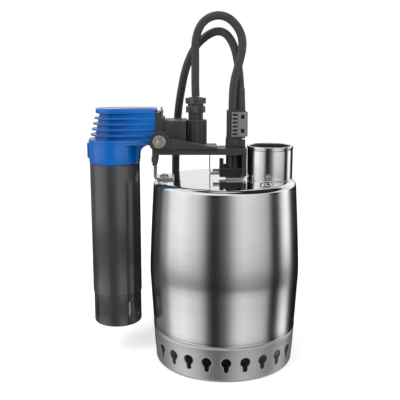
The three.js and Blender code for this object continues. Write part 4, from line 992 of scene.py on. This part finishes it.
# ---- Gland nut ----
# A black nylon compression nut, moulded with two rows of grip lugs. It screws on the terminal box's neck and
# squeezes the seal round the switch lead.
gland_place = (-28.65, 11, 248)
nut_wall = rounded_profile([
    (7.5, 0), (8.1, 0), (8.1, 6.0), (7.8, 6.5), (7.8, 8.4), (8.1, 8.9), (8.1, 13.6, 0.8), (6.6, 15, 0.6),
    (4.3, 15), (4.3, 12), (7.5, 12)], 0.25, 3)
nut_nylon = polymer("nut_nylon", (0.050, 0.051, 0.053, 1), (0.14, 0.14, 0.145, 1), 0.40, bump=0.07, wear=0.6)
nut_parts = [turned_piece("nut_wall", nut_wall, black_moulding, 72, gland_place)]
lug_outline = [(7.6, -2.2), (9.95, -2.1), (9.95, 2.1), (7.6, 2.2)]
for low, high, turned_by in ((0.3, 6.1, 0.5), (8.8, 14.4, 0.1)):
    for k in range(6):
        out, across = out_and_across((k + turned_by) * math.pi / 3)
        lug = swept_piece("nut_lug", lug_outline, (low, high), lambda u, v, w: (
            Vector(gland_place) + out * u + across * v + Vector((0, 0, w))), nut_nylon)
        nut_parts.append(bevelled(lug, 0.3, 2, 40))
for part in nut_parts:
    bake_modifiers(part)
gland_nut = joined("gland_nut_lugged", *nut_parts)
finish_piece(gland_nut, "pump", "black_plastic", "gland_nut")

# ---- Clamp bolt, nut and washer ----
# A stainless cross bolt with a six-sided head, a chamfered nut and a stamped washer. Tightened, it clamps the
# head's flange to the bracket.
bolt_end_brass = bright_metal("bolt_end_brass", (0.86, 0.66, 0.52, 1), 0.5, streaks=0.2, wear=0.3)
bolt_x, bolt_z = -63.4, 222.1
on_the_bolt = (bolt_x, 0, bolt_z)
washer_profile = rounded_profile([
    (2.8, -18.35), (6.2, -18.5, 0.3), (6.2, -18.0, 0.3), (4.4, -17.3, 0.9), (2.8, -17.5)], 0.3, 4)
washer = turned_piece("washer_stamped", washer_profile, satin_steel, 64, on_the_bolt, "Y")
finish_piece(washer, "pump", "polished_steel", "clamp_washer")


def six_sided(name, corner_radius, y_from, y_to, bore, material):
    """A hexagon along Y, chamfered at its y_from end, with a bore where one is given."""
    hexagon = []
    for k in range(6):
        angle = math.radians(60 * k)
        hexagon.append((corner_radius * math.cos(angle), corner_radius * math.sin(angle)))
    body = swept_piece(name, hexagon, (y_from, y_to), lambda u, v, w: (bolt_x + u, w, bolt_z + v), material)
    flat, wide = corner_radius * 0.88, corner_radius * 1.06
    chamfer = [(0, y_from - 1), (flat, y_from - 1), (flat, y_from), (wide, y_from + 1.1), (wide, y_to + 1),
               (0, y_to + 1)]
    limit = turned_piece("cutter", chamfer, material, 64, on_the_bolt, "Y")
    keep = body.modifiers.new("chamfer", "BOOLEAN")
    keep.operation, keep.solver, keep.object = "INTERSECT", "EXACT", limit
    bake_modifiers(body)
    bpy.data.objects.remove(limit)
    if bore:
        drill = [(0, y_from - 3), (bore, y_from - 3), (bore, y_to + 3), (0, y_to + 3)]
        cut(body, turned_piece("cutter", drill, material, 48, on_the_bolt, "Y"))
    return sharpen(body, 25)


nut_steel = bright_metal("nut_steel", (0.86, 0.865, 0.87, 1), 0.36, streaks=0.1, wear=0.5)
clamp_nut = six_sided("clamp_nut_chamfered", 5.6, -22.8, -18.8, 2.75, nut_steel)
finish_piece(clamp_nut, "pump", "polished_steel", "clamp_nut")
shank = [(0, 0), (1.7, 0), (2.5, 0.7)]
for turn_number in range(6):
    thread = 1.0 + 0.5 * turn_number
    shank += [(2.5, thread), (2.28, thread + 0.22)]
shank += [(2.5, 4.4), (2.5, 52.8), (0, 52.8)]
bolt = turned_piece("bolt_shank", shank, bolt_end_brass, 48, (bolt_x, -24.2, bolt_z), "Y")
bolt_head = six_sided("bolt_head", 4.6, 28.3, 31.8, 0, mirror_steel)
clamp_bolt = joined("clamp_bolt_threaded", bolt, bolt_head)
finish_piece(clamp_bolt, "pump", "polished_steel", "clamp_bolt")
